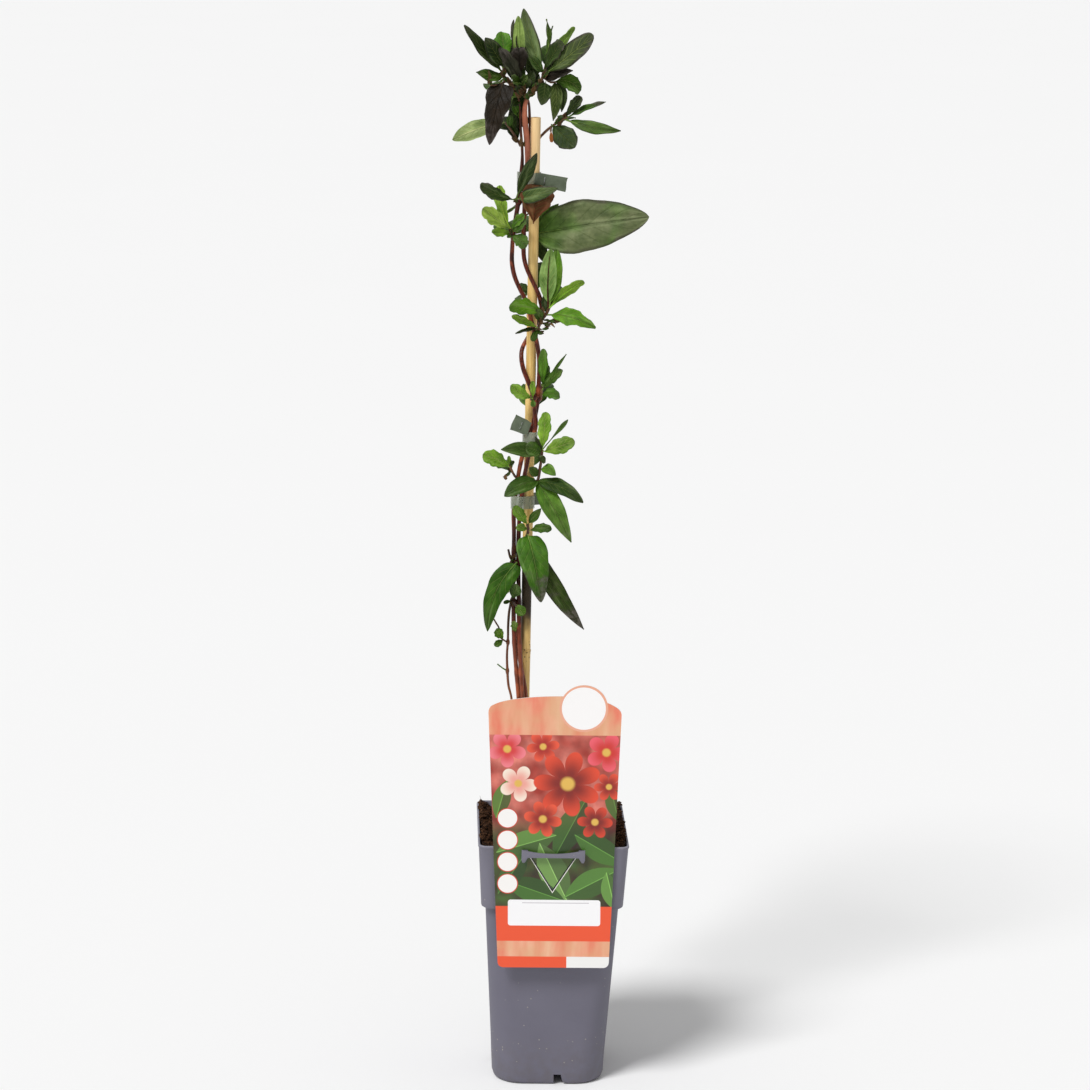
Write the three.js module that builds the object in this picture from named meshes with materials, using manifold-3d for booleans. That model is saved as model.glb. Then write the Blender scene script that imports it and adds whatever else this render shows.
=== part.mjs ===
// A young honeysuckle in a tall square nursery pot. Four reddish stems climb a bamboo cane,
// winding up to the left round its front, and film ties with staples hold them to it. A die-cut card
// label hangs in front of the pot, on a bar that is moulded with the rim.
// Millimetres, +Z up, +Y to the back. The origin is the middle of the pot's underside.

import * as THREE from "three";
import { mergeVertices } from "three/addons/utils/BufferGeometryUtils.js";
import Module from "manifold-3d";

const wasm = await Module();
wasm.setup();

// ---- driving dimensions ----

const GAP = 0.35; // clear space kept between two pieces that touch

// Pot: the outer half widths at the heights where its wall changes.
const POT_HEIGHT = 191;
const RIM_HALF = 55;
const COLLAR_FOOT_HALF = 52.3;
const COLLAR_FOOT_Z = 141.5;
const BODY_TOP_HALF = 49.2;
const BODY_FOOT_HALF = 42.2;
const BODY_FOOT_Z = 13;
const BASE_HALF = 38.5;
const POT_WALL = 1.3;
const POT_FLOOR = 2.2;
const RIM_CORNER = 6;
const BODY_CORNER = 9;
const BASE_CORNER = 22;
const CORNER_STEPS = 4;
const DRAIN = { inner: 3.9, outer: 10.5, foot: 14, height: 7.9 }; // section of the channels under the base

// Label bar on the front of the rim.
const BAR_CENTRE_X = -0.6;
const BAR_HALF = 23.2;
const BAR_TOP = 190.4;
const BAR_DIP = 187.4;
const BAR_FOOT = 184.3;
const BARB_FOOT = 180.6;
const BAR_FRONT_Y = -61;
const BAR_THICK = 1.5;
const POST_X = 20.2;
const POST_WIDE = 3.2;
const POST_FOOT = 185.1;
const POST_TOP = 189.2;

// Label: a flat card whose middle line leans a little to the left as it rises.
const LABEL_BACK_Y = -56.4;
const LABEL_THICK = 0.8;
const LABEL_FOOT = 98.4;
const LABEL_FOOT_HALF = 40.8;
const LABEL_SHOULDER = 295;
const LABEL_SHOULDER_HALF = 47.6;
const LABEL_ARCH = 306;
const LABEL_LEAN = -0.0165;
const LABEL_CENTRE_X = 1.2;
const LABEL_CORNER = 4.5;
const MEDAL = { x: 19.3, z: 297, radius: 17.5 };
const SLIT = { half: 16.4, top: 183.4, foot: 157, wide: 0.8 };

// Soil.
const SOIL_TOP = 177;
const SOIL_DISH = 26; // half width of the hollow in the middle, from which the soil rises to both sides
const SOIL_HEAP = 16;
const SOIL_LUMP = 1.3;
const SOIL_RINGS = [1, 0.9, 0.74, 0.56, 0.38, 0.2];

// Cane.
const CANE = { x: -21.9, y: 4, radius: 3.7, foot: 66, top: 716, sides: 10 };
const CANE_KNOTS = [92, 205, 324, 448, 574];

// Film ties: each a loop round the cane and stems with a doubled tail, held by a staple.
const FILM = 0.65;
const TAIL_THICK = 1.1;
const STAPLE_WIRE = 0.6;
const STAPLE_LEG = 2.6;
const WRAP_SIDES = 8;

// Leaf blades.
const BLADE_THICK = 0.7;
const STALK_THICK = 1.5;
const STALK_HALF = 0.75;
const STALK_SHARE = 0.1;
const STALK_LONGEST = 5;
const TIP_HALF = 0.45;
const STATION_PITCH = 10;
const SMALL_LEAF = 26; // a leaf shorter than this has no midrib crease
const STEM_SIDES = 5;
const SHOOT_SIDES = 4;
const KNOT_SIDES = 6;
const LEAF_CLEARANCE = 0.5; // space kept round a stem, cane or tie by the leaves of a shoot

// How a blade widens and narrows: the half width at t is sin(pi t^lean)^full of the widest.
const LANCE = { lean: 0.85, full: 0.9 };
const OVATE = { lean: 0.8, full: 0.62 };
const ROUND = { lean: 0.62, full: 0.6 };
const BLUNT = { lean: 1.1, full: 0.62 };

// Colours.
const POT_GREY = "#6f6e7a";
const SOIL_BROWN = "#33261d";
const LABEL_SALMON = "#ea9f7f";
const BAMBOO = "#c9a768";
const FILM_GREEN = "#7d8478";
const STEEL = "#c9ccd0";
const STEM_RED = "#8a4333";
const TWIG_BROWN = "#7a4a38";
const DARK = "#3d4f2c";
const GREEN = "#56773a";
const YOUNG = "#8aa655";
const PURPLE = "#453a3a";
const RUSSET = "#7d4536";

// ---- stems: each a route of its middle line, from the soil up ----

const STEMS = {
  stem_left: {
    radius: 1.6,
    route: [
      [-23, -4, 148], [-23, -4, 183], [-24, -4, 218], [-25, -3, 256.5], [-26.5, -2, 289.5],
      [-28.5, -2, 310], [-30, -2, 325.5], [-31, -1, 344], [-31.5, 1, 362.5], [-32, 2, 377.5],
      [-32, 2, 392.5], [-32, 2, 411.5], [-32.5, 2, 428.5], [-32, 1.5, 439], [-30, 0.5, 454.5],
      [-28, -0.5, 466.5], [-25.5, -2, 477.5], [-23, -3, 485.5], [-20, -2.5, 494.5], [-17.5, -0.5, 505],
      [-16.5, 1, 513.5], [-16, 2, 525.5], [-16, 2, 538], [-17, 0.5, 549], [-19, -1.5, 558],
      [-21.5, -2.5, 567], [-24, -2, 576.5], [-27, 0.5, 585.5], [-30.5, 2.5, 592], [-35, 4, 602],
      [-37, 5, 612], [-37, 5.5, 620.5], [-36.5, 5.5, 631.5], [-34.5, 5, 646], [-32.5, 4.5, 660.5],
      [-31.5, 4, 675], [-31, 3.5, 689], [-32.5, 3, 707], [-33.5, 2.5, 722.5], [-35.5, 2.5, 732.5],
      [-40, 2, 739.5], [-44, 2, 744.5],
    ],
  },
  stem_right: {
    radius: 1.6,
    route: [
      [-19.5, -6, 148], [-19.5, -6, 183.5], [-21, -6, 219], [-22, -5, 257], [-23.5, -6, 290],
      [-25, -6, 306.5], [-26, -5.5, 321.5], [-27, -3.5, 340], [-27.5, 0, 358.5], [-28, 3, 377],
      [-28.5, 3.5, 396], [-28.5, 3.5, 415], [-28, 2.5, 428.5], [-27, 0, 441], [-25.5, -2, 455],
      [-23.5, -3.5, 466.5], [-21.5, -4.5, 478], [-19.5, -6, 487], [-18, -6, 495], [-19, -4.5, 506],
      [-19.5, -3.5, 513], [-21.5, -3, 520], [-24.5, -1.5, 527.5], [-27.5, 0.5, 535], [-29, 3, 542.5],
      [-28.5, 6.5, 548.5], [-25.5, 9.5, 554.5], [-21, 10.5, 562], [-17.5, 9.5, 569.5], [-15, 6.5, 578],
      [-16, 2.5, 585], [-18.5, -1.5, 592], [-23, -2, 601], [-26.5, -0.5, 608.5], [-28.5, 2.5, 616],
      [-29, 3.5, 628], [-29, 3, 642.5], [-28.5, 2.5, 660.5], [-28, 2, 678.5], [-28, 1, 696.5],
      [-29, 0.5, 714.5], [-28.5, 0.5, 725.5], [-25.5, 0, 732], [-21.5, -1, 738], [-18.5, -1, 743.5],
    ],
  },
  stem_back: {
    radius: 1.5,
    route: [
      [-15.5, -1, 148], [-16, -1.5, 182], [-17.5, -2, 217.5], [-19, -2.5, 256.5], [-21, -3, 289.5],
      [-23, -3, 303], [-25, -2, 312], [-27, 1, 321.5], [-28, 4.5, 331], [-27, 8, 342],
      [-23.5, 10.5, 354], [-22, 11, 366], [-22, 11, 383], [-21.5, 11, 409.5], [-21.5, 11, 439.5],
      [-21.5, 11, 473], [-21.5, 11, 510.5], [-21.5, 12.5, 530], [-21.5, 14.5, 547], [-21.5, 15, 562],
      [-21.5, 14.5, 577], [-21.5, 12.5, 593], [-21.5, 11, 607], [-21.5, 11, 631], [-22, 10.5, 652.5],
      [-25, 9.5, 670.5], [-27, 8, 684], [-28, 5.5, 700], [-28, 4.5, 715.5], [-29, 4.5, 726.5],
      [-31, 5, 733.5], [-33, 5, 739.5],
    ],
  },
  stem_thin: {
    radius: 0.9,
    route: [
      [-31, 3, 148], [-31.5, 3, 215], [-32, 3, 254], [-31.5, 3, 286], [-34, 3, 297], [-35, 3, 308.5],
      [-35.5, 3, 320], [-35, 3, 331.5], [-35, 3, 343.5], [-34.5, 2.5, 353], [-33.5, -2, 361],
    ],
  },
};

// ---- ties: the tail starts at its root on the loop and runs level, turned and dipped ----

const TIES = [
  {
    name: "upper", foot: 667.5, top: 677, root: [-21.9, -0.85, 673], tail: 23, tailHeight: 9.5,
    turn: -0.1, dip: 0.17, staple: 7,
  },
  {
    name: "middle", foot: 479.5, top: 490, root: [-22.5, -7.6, 492.5], tail: 13, tailHeight: 11,
    turn: 2.95, dip: -0.36, staple: 6.5,
  },
  {
    name: "lower", foot: 431.5, top: 441, root: [-24, 12.4, 436], tail: 17, tailHeight: 9,
    turn: 0.5, dip: 0.05, staple: 7,
  },
];

// ---- sprays ----
// A leaf is [from, to, width, the way its upper face looks, outline, arch, fold, wave, sweep]. The arch
// lifts the midrib towards the upper face, the fold raises the edges from it, as a share of the half
// width, the wave ripples them, and the sweep bows the leaf to one side.

const SPRAYS = {
  crown_left_shoot: {
    colour: DARK,
    shoots: [
      { radius: 1.1, route: [[-44, 2, 742], [-45.5, 2, 746.5], [-45, 2, 752], [-44, 3, 757.5]] },
    ],
    leaves: [
      [[-45.5, 2, 747], [-74, -10, 781], 10, [1, -2, 1], LANCE, 2, 0.3, 0, -2],
      [[-45, 2, 750], [-59, -15, 773], 12, [0, -3, 1], LANCE, 2, 0.3, 0, 0],
      [[-44.5, 2.5, 755], [-47, 13, 775], 13, [0, -2, 1], BLUNT, 1, 0.2, 1, 0],
      [[-44.5, 2, 744], [-65, -7, 748], 10.5, [-1, -2, 1.5], LANCE, 1, 0.2, 0.5, -1.5],
      [[-45.5, 2, 749], [-53, 36, 766], 14, [0, -1, 2], LANCE, 3, 0.2, 0, 0],
      [[-45, 2, 745], [-59, 36, 736], 13, [-1, -1, 3], LANCE, -4, 0.2, 0, 0],
      [[-44.5, 2.5, 755.5], [-44, 30, 769], 11, [0, -1, 2], LANCE, 2, 0.2, 0, 0],
    ],
  },
  crown_hanging_leaf: {
    colour: PURPLE,
    shoots: [],
    leaves: [
      [[-46, -2, 740.5], [-55, -15, 698], 17.5, [-1, -4, 1], ROUND, 3, 0.12, 0.4, 0],
    ],
  },
  crown_middle_shoot: {
    colour: GREEN,
    shoots: [
      { radius: 1.1, route: [[-32, 4, 735], [-33.5, 4, 742], [-34, 3, 749.5], [-34.5, 3, 755]] },
    ],
    leaves: [
      [[-34, 3, 752], [-36, -9, 788], 8.5, [0, 2, 1], LANCE, -1, 0.2, 0, 0],
      [[-34.5, 3, 753.5], [-39, -3, 785], 9, [-2, -1, 0], LANCE, 1, 0.3, 0, 0],
      [[-33.5, 3.5, 745.5], [-35, -10, 766], 13, [0, -3, 1], BLUNT, 1, 0.2, 0, 0],
      [[-33.5, 4, 741], [-49, -13, 766], 9, [1, -1, 0], BLUNT, 1.5, 0.3, 0, 0],
      [[-33, 4, 739.5], [-38, -10, 741], 6, [0, -1, 1], BLUNT, 1, 0.2, 0, 0],
      [[-32.5, 4, 738.5], [-29, -9, 746], 7, [0, -2, 1], BLUNT, 1, 0.3, 0.5, 0],
      [[-32.5, 4, 737], [-40, -9, 746], 6, [0, -2, 1], BLUNT, 1, 0.3, 0.5, 0],
      [[-34, 3, 750.5], [-30, 34, 775], 14, [0, -1, 2], LANCE, 3, 0.2, 0, 0],
      [[-33, 4, 739], [-40, 32, 718], 14, [0, 1, 3], LANCE, -3, 0.2, 0, 0],
    ],
  },
  crown_right_shoot: {
    colour: DARK,
    shoots: [
      { radius: 1.1, route: [[-18.5, -1, 743], [-17, -1, 747], [-16, 0, 751.5], [-15, 2, 754.5]] },
      { radius: 0.8, route: [[-17.5, -1, 745], [-12, -2, 741.5], [-7.5, -2, 742]] },
    ],
    leaves: [
      [[-17, -1, 748], [-32, 8, 792], 11.5, [0, -3, 1], LANCE, 1, 0.2, 0.3, -2],
      [[-17, -1, 747], [-29, -9, 762], 7, [0, -2, 1], LANCE, 1, 0.3, 0, 0],
      [[-15, 2, 754.5], [-16, 7, 785], 4, [1, -1, 0], LANCE, 1.5, 0.3, 1, 1.5],
      [[-15, 2, 754.5], [-11, 12, 780], 4, [-1, -1, 0], LANCE, 1, 0.3, 0, 0],
      [[-15, 2, 754.5], [5, 16, 779], 8, [-1, 2, 1], BLUNT, 1, 0.3, 0, -1],
      [[-16, -1, 750], [-7, -7, 771], 12, [-1, -3, 1], BLUNT, 1, 0.3, 0, 0],
      [[-17, -1, 747], [17, -13, 776], 14, [-1, -3, 2], LANCE, 2, 0.25, 0, 2],
      [[-16, -1.5, 744], [3, -13, 751], 9, [0, -1, 3], LANCE, 1, 0.3, 0, 0],
      [[-10.5, -2, 741.5], [9, -6, 736], 12, [0, -2, 1], BLUNT, 3, 0.2, 0.5, -3],
      [[-15, -1.5, 743.5], [-17, -9, 727], 10, [1, -3, 1], OVATE, 1, 0.2, 0, 0],
      [[-9, -2, 742], [-10, -8, 715], 9, [0, -3, 0], LANCE, 1, 0.3, 0.4, -1.5],
      [[-7.5, -2, 742], [-4, -4, 721], 8, [0, -3, 0], LANCE, 1, 0.3, 0.4, -2],
      [[-16, 0, 750.5], [-10, 34, 765], 14, [0, -1, 2], LANCE, 3, 0.2, 0, 0],
      [[-17, -1, 747.5], [4, 30, 756], 14, [0, -1, 2], LANCE, 3, 0.2, 0, 0],
      [[-18, -1, 743.5], [-5, 34, 731], 14, [0, -1, 3], LANCE, -3, 0.2, 0, 0],
    ],
  },
  upper_left_shoot: {
    colour: GREEN,
    shoots: [
      { radius: 0.9, route: [[-32.5, 3, 695.5], [-35, 2, 700.5], [-39.5, 1.5, 707], [-43.5, 1, 712.5]] },
    ],
    leaves: [
      [[-44, 1, 712.5], [-81, -4, 700], 14, [0, 3, 1], LANCE, 2, 0.15, 0, -1],
      [[-41, 1.5, 709], [-40, -4, 718], 5, [0, -2, 1], BLUNT, 1, 0.2, 0, 0],
      [[-34, 2.5, 698.5], [-41, 18, 715], 9, [-1, -1, 2], LANCE, 1, 0.2, 0, 0],
      [[-38.5, 1.5, 705.5], [-47, 22, 713], 12, [-1, -1, 2], LANCE, 2, 0.2, 0, 0],
      [[-36.5, 2, 702.5], [-39, 6, 725], 7.5, [-1, -2, 0], LANCE, 1, 0.2, 0, 0],
    ],
  },
  upper_right_shoot: {
    colour: GREEN,
    shoots: [
      {
        radius: 0.95,
        route: [
          [-25, 7, 695], [-21, 11, 697.5], [-17.5, 9, 702.5], [-11, 3, 709.5], [-5, 0, 714],
          [0, -1, 717],
        ],
      },
      { radius: 0.8, route: [[-11, 2.5, 709], [-11.5, 0, 704], [-11, -1, 699]] },
    ],
    leaves: [
      [[-1, -1, 716.5], [10, -6, 732], 8.5, [-1, -2, 1], BLUNT, 1, 0.3, 0, 0],
      [[-0.5, -1, 716.5], [27, -9, 729], 8, [-1, -2, 4], LANCE, 1, 0.3, 0, 0],
      [[-1.5, -1, 715.5], [38, -11, 709], 9.5, [0, -2, 1], LANCE, 2, 0.15, 0, 2.5],
      [[-9, 2, 711], [6, -9, 697], 14.5, [0, -3, 1], BLUNT, 1, 0.1, 0.3, 0],
      [[-6, 1, 713.5], [6, 30, 713], 12, [0, -1, 3], LANCE, 2, 0.2, 0, 0],
    ],
  },
  tie_upper_leaves: {
    colour: DARK,
    knot: [-33, 4.5, 656, 3.2],
    shoots: [
      { radius: 1, route: [[-32.5, 4.5, 657], [-34.5, 2, 657], [-35.5, -1, 658]] },
    ],
    leaves: [
      [[-35, -1, 658], [-21, -8, 692], 9.5, [1, -3, 0], LANCE, 1, 0.3, 0, -1.3],
      [[-35.5, -0.5, 658], [-6, -14, 668], 11, [0, -3, 1], LANCE, 2, 0.25, 0, 1],
      [[-35.5, -1, 657.5], [-61, -9, 669], 9, [0, -3, 1], BLUNT, 1, 0.3, 0.8, -2],
      [[-34, 5, 655.5], [-43, 34, 643], 14, [-1, -1, 3], LANCE, -2, 0.2, 0, 0],
    ],
  },
  russet_leaf: {
    colour: RUSSET,
    shoots: [],
    leaves: [
      [[-30.5, -1, 647], [-9, -6, 668], 19, [0, 2, -1], ROUND, -1.5, 0.05, 0, 1],
    ],
  },
  left_cluster: {
    colour: YOUNG,
    shoots: [
      { radius: 0.95, route: [[-36, 5.5, 627], [-37.5, 3, 629.5], [-38, 1, 633.5], [-38.5, 0, 637]] },
    ],
    leaves: [
      [[-38.5, 0, 636.5], [-47, -3, 668], 8.5, [0, 2, 1], BLUNT, 1, 0.25, 0, 2.5],
      [[-38.5, 0.5, 635.5], [-59, -9, 652], 11, [0, -3, 1], BLUNT, 1, 0.15, 0.3, 0],
      [[-38, 1, 633.5], [-52, -9, 635], 7, [0, -2, 1], BLUNT, 0.8, 0.3, 0.5, 0],
      [[-38, 0, 636.5], [-29, -8, 648], 7, [-1, -2, 1], BLUNT, 1, 0.3, 0, 0],
      [[-38, 1, 633.5], [-28, -9, 645], 7, [-1, -2, 0], BLUNT, 1, 0.3, 0, 0],
      [[-38, 1.5, 632], [-27, -8, 625], 10, [0, -3, 1], BLUNT, 1, 0.2, 0.5, -1],
      [[-37.5, 2.5, 630], [-48, 34, 637], 13, [-1, -1, 3], LANCE, 2, 0.2, 0, 0],
    ],
  },
  large_leaf_pair: {
    colour: GREEN,
    knot: [-21.5, 11, 632.5, 3.0],
    shoots: [],
    leaves: [
      [[-21, 12.5, 632], [60, -6, 648], 37, [0, -3, 1], OVATE, 4, 0.12, 0, 0],
      [[-21.5, 11, 632], [-41, 52, 633], 26, [-1, -1, 3], OVATE, 4, 0.12, 0, 0],
      [[-21, 13, 633.5], [-4, 16, 653], 9, [0, -3, 1], LANCE, 1, 0.2, 0, 0],
      [[-19.5, 12.5, 631.5], [-13, 9, 611], 9, [0, -3, 0], LANCE, 1, 0.3, 0, 0],
    ],
  },
  middle_right_shoot: {
    colour: GREEN,
    shoots: [
      {
        radius: 1.1,
        route: [
          [-20, -2, 562], [-17.5, -4.5, 566], [-15.5, -4.5, 571], [-12, -4.5, 576], [-10, -4, 580.5],
        ],
      },
    ],
    leaves: [
      [[-10.5, -4, 580], [-10, -11, 624], 12.5, [0, 2, 1], LANCE, 1.5, 0.12, 0, 1],
      [[-10, -4, 580.5], [-5, 2, 622], 13, [0, -3, 1], LANCE, 1, 0.15, 0.3, 0],
      [[-10.5, -4, 579.5], [14, -15, 602], 9, [-1, 3, 1], BLUNT, 1, 0.25, 0, 1.2],
      [[-12, -4, 575.5], [23, -20, 569], 13, [0, -3, 2], LANCE, 4, 0.2, 1.2, -1.5],
      [[-12.5, -4.5, 575.5], [-39, -14, 582], 12, [0, -2, 1], BLUNT, 2, 0.25, 0.6, 2.5],
      [[-17.5, -5, 566], [-37, -15, 576], 6, [0, -2, 1], BLUNT, 1, 0.3, 0, 0],
      [[-17.5, -4.5, 565.5], [-34, -13, 563], 4, [0, -1, 2], LANCE, 1, 0.3, 0, 0],
      [[-18, -4, 565], [-22, -9, 557], 5, [0, -3, 0], BLUNT, 0.6, 0.3, 0, 0],
      [[-14.5, -4.5, 572], [-5, -9, 570], 3, [0, -1, 2], LANCE, 0.6, 0.3, 0, 0],
      [[-15.5, -4.5, 571], [-19, -9, 580], 7, [0, -3, 1], BLUNT, 1, 0.3, 0.4, 0],
      [[-12, -4.5, 576], [-14, 1, 589], 5, [0, -3, 1], LANCE, 0.6, 0.3, 0, 0],
      [[-10.5, -4, 579], [-1, 24, 592], 14, [0, -1, 2], LANCE, 3, 0.2, 0, 0],
    ],
  },
  middle_back_shoot: {
    colour: GREEN,
    knot: [-21.5, 13.5, 583.5, 3.0],
    shoots: [
      { radius: 1, route: [[-21.5, 11.5, 583.5], [-21, 15, 586], [-20, 19, 589]] },
    ],
    leaves: [
      [[-20.5, 16, 587.5], [-17, 11, 607], 8, [1, -3, 1], LANCE, 1, 0.2, 0, 0],
      [[-21, 15.5, 586], [-31, 18, 594], 6, [0, -3, 1], BLUNT, 1, 0.2, 0, 0],
      [[-20, 19, 589], [-15, 40, 607], 14, [0, -1, 2], LANCE, 3, 0.2, 0, 0],
      [[-20.5, 16.5, 587], [-30, 44, 578], 15, [-1, -1, 3], LANCE, 3, 0.2, 0, 0],
    ],
  },
  lower_right_leaves: {
    colour: GREEN,
    knot: [-16.5, 1, 513.5, 3.2],
    shoots: [
      { radius: 1, route: [[-16.5, 1, 513], [-14.5, -1, 515], [-14, -1.5, 519.5], [-13.5, -1.5, 523]] },
    ],
    leaves: [
      [[-14, -1, 521.5], [-15, -5, 551], 8, [0, -3, 1], BLUNT, 1, 0.25, 0, 0],
      [[-13.5, -1.5, 522], [-11, -1, 539], 7, [1, -3, 1], BLUNT, 0.6, 0.3, 0.3, 0],
      [[-13.5, -2, 522.5], [3, -9, 548], 2.4, [0, -2, 1], LANCE, 0.6, 0.3, 0, 0],
      [[-14, -2, 520], [0, -10, 537], 7, [0, -3, 1], BLUNT, 1, 0.2, 1, -0.5],
      [[-14.5, -1, 516], [-1, -11, 517], 8, [0, -3, 1], BLUNT, 1.5, 0.3, 0.6, -2],
      [[-14.5, 1, 515], [-8, 30, 518], 13, [0, -1, 3], LANCE, 3, 0.2, 0, 0],
    ],
  },
  lower_left_leaves: {
    colour: YOUNG,
    knot: [-20, -3.5, 515, 3.2],
    shoots: [
      { radius: 0.8, route: [[-20, -3.5, 515], [-20.5, -6.5, 514.5]] },
    ],
    leaves: [
      [[-20.5, -6.5, 514.5], [-37, -13, 525], 9, [0, -3, 1], BLUNT, 1, 0.25, 0.3, -1],
      [[-20.5, -6.5, 514.5], [-21, -9, 528], 4, [0, -3, 1], BLUNT, 0.5, 0.3, 0, 0],
    ],
  },
  tie_middle_leaves: {
    colour: GREEN,
    shoots: [
      {
        radius: 1.15,
        route: [
          [-24.5, -1, 449], [-21, -5, 451], [-16, -6.5, 454], [-14.5, -7, 462], [-13.5, -7, 469.5],
          [-13, -7, 477],
        ],
      },
    ],
    leaves: [
      [[-13, -7, 476], [-11, -12, 506], 9.5, [0, -3, 1], BLUNT, 1, 0.2, 0.5, 0],
      [[-13, -7, 477], [5, -14, 501], 4, [0, -3, 1], LANCE, 0.8, 0.3, 0, 0],
      [[-13.5, -7, 475.5], [10, -16, 486], 12, [0, -3, 1], BLUNT, 1.5, 0.25, 0.9, 0.5],
      [[-13.5, -7, 476], [-18, -9, 487], 5, [0, -3, 1], LANCE, 0.6, 0.3, 0, 0],
      [[-13, -7, 475], [-25, -15, 481], 11, [0, -3, 1], BLUNT, 1, 0.2, 0.4, 0],
      [[-13.5, -7, 472.5], [-43, -17, 479], 11, [0, -2, 1], LANCE, 2.5, 0.2, 0, 2],
      [[-14, -7, 463], [-3, -15, 460], 8, [0, -3, 1], OVATE, 1.5, 0.2, 0, -2],
      [[-15.5, -7, 457.5], [-22, -12, 465], 7, [0, -3, 1], BLUNT, 1, 0.2, 0, 0],
      [[-16, -6.5, 454], [-40, -20, 445], 14, [0, -2, 2], OVATE, 3, 0.15, 0, 1],
      [[-16, -6.5, 454], [17, -20, 441], 12.5, [0, -2, 2], OVATE, 3, 0.15, 0, -2],
      [[-16, -6.5, 454], [9, -22, 412], 15.5, [0, -3, 1], LANCE, 3, 0.12, 0, -0.5],
    ],
  },
  tie_left_shoot: {
    colour: YOUNG,
    shoots: [
      {
        radius: 0.9,
        route: [
          [-29.5, 0.5, 453], [-32.5, -1.5, 456.5], [-35, -2.5, 461.5], [-36.5, -2.5, 465.5],
        ],
      },
    ],
    leaves: [
      [[-35.5, -2.5, 462.5], [-56, -11, 474], 11.5, [0, -3, 1], BLUNT, 1, 0.15, 0.3, 1],
      [[-34, -2, 460], [-44, 24, 461], 12, [-1, -1, 3], LANCE, 2, 0.2, 0, 0],
    ],
  },
  back_upper_leaves: {
    colour: GREEN,
    knot: [-21.5, 11, 498.5, 3.0],
    shoots: [
      { radius: 1, route: [[-21.5, 11, 498.5], [-21, 14, 500], [-19.5, 18, 502]] },
    ],
    leaves: [
      [[-20.5, 16, 501], [-12, 40, 515], 15, [0, -1, 2], LANCE, 3, 0.2, 0, 0],
      [[-20.5, 16, 501], [-29, 36, 508], 13, [-1, -1, 2], LANCE, 3, 0.2, 0, 0],
    ],
  },
  back_middle_leaves: {
    colour: DARK,
    knot: [-21.5, 11, 452, 3.0],
    shoots: [
      { radius: 1, route: [[-21.5, 11, 452], [-21.5, 14, 454], [-20.5, 18, 456.5]] },
    ],
    leaves: [
      [[-21, 16, 455.5], [-8, 46, 437], 18, [1, -1, 3], OVATE, -3, 0.15, 0, 0],
      [[-21, 16, 455.5], [-32, 44, 442], 16, [-1, -1, 3], LANCE, -3, 0.15, 0, 0],
      [[-20.5, 18, 456.5], [-16, 34, 473], 13, [0, -1, 2], LANCE, 2, 0.2, 0, 0],
    ],
  },
  back_lower_leaves: {
    colour: DARK,
    knot: [-21.5, 11, 399.5, 3.0],
    shoots: [
      { radius: 1, route: [[-21.5, 11, 399.5], [-21.5, 14.5, 401], [-21, 19, 403]] },
    ],
    leaves: [
      [[-21.5, 17, 402.5], [-8, 44, 381], 18, [1, -1, 3], OVATE, -3, 0.15, 0, 0],
      [[-21.5, 17, 402.5], [-32, 42, 386], 16, [-1, -1, 3], OVATE, -3, 0.15, 0, 0],
    ],
  },
  base_front_shoot: {
    colour: GREEN,
    shoots: [
      {
        radius: 1.1,
        route: [
          [-28, 3.5, 405], [-26, -1.5, 407.5], [-23.5, -4.5, 411], [-22, -5.5, 415.5],
          [-22.5, -6, 421.5],
        ],
      },
    ],
    leaves: [
      [[-22.5, -6, 421], [-33, -12, 436], 8, [0, -3, 1], BLUNT, 1, 0.25, 0, 0],
      [[-22, -6, 421.5], [-13, -9, 434], 6.5, [0, -3, 1], LANCE, 0.8, 0.3, 0, 0],
      [[-21.5, -6, 416.5], [-5, -13, 420], 7, [0, -3, 1], BLUNT, 1.5, 0.25, 0.8, -1],
      [[-23, -6, 417], [-31, -11, 420], 6, [0, -3, 1], BLUNT, 1.5, 0.3, 0.5, 1],
      [[-22.5, -5.5, 414.5], [-12, -22, 367], 22, [0, -4, 1], ROUND, 4, 0.1, 0.3, -1],
      [[-23, -5, 413], [20, -15, 345], 13.5, [0, -3, 1], LANCE, 2.5, 0.12, 0, 3],
    ],
  },
  base_left_leaf: {
    colour: GREEN,
    knot: [-32, 2, 390.5, 3.2],
    shoots: [
      { radius: 0.9, route: [[-32, 2, 390.5], [-34.5, 0.5, 395], [-36, -1, 401]] },
    ],
    leaves: [
      [[-32.5, -0.5, 390.5], [-50, -12, 342], 16.5, [-1, -4, 1], ROUND, 2, 0.08, 0.3, 5.5],
      [[-32, 2, 389.5], [-37, 36, 357], 17, [-1, -1, 3], OVATE, -2, 0.15, 0, 0],
    ],
  },
  base_node_leaves: {
    colour: GREEN,
    knot: [-31.5, 1, 361, 3.2],
    shoots: [
      { radius: 0.85, route: [[-31.5, 1, 359.5], [-33.5, -3, 363.5], [-32.5, -4, 366]] },
      { radius: 0.75, route: [[-33, -3, 363], [-30.5, -5.5, 361], [-29, -6.5, 360]] },
    ],
    leaves: [
      [[-33, -3.5, 364.5], [-30, -8, 377], 9, [0, -3, 1], BLUNT, 0.8, 0.15, 0.2, 1],
      [[-30, -5.5, 361], [-24, -10, 354], 8, [0, -3, 1], BLUNT, 0.8, 0.15, 0, 0],
    ],
  },
  base_bud: {
    colour: YOUNG,
    shoots: [],
    leaves: [
      [[-30, -2, 338.5], [-31, -4, 348], 5, [0, -3, 1], BLUNT, 0.5, 0.3, 0.5, 0],
    ],
  },
  thin_shoot_leaves: {
    colour: YOUNG,
    knot: [-35, 3, 330, 2.3],
    shoots: [
      {
        radius: 0.6,
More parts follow.
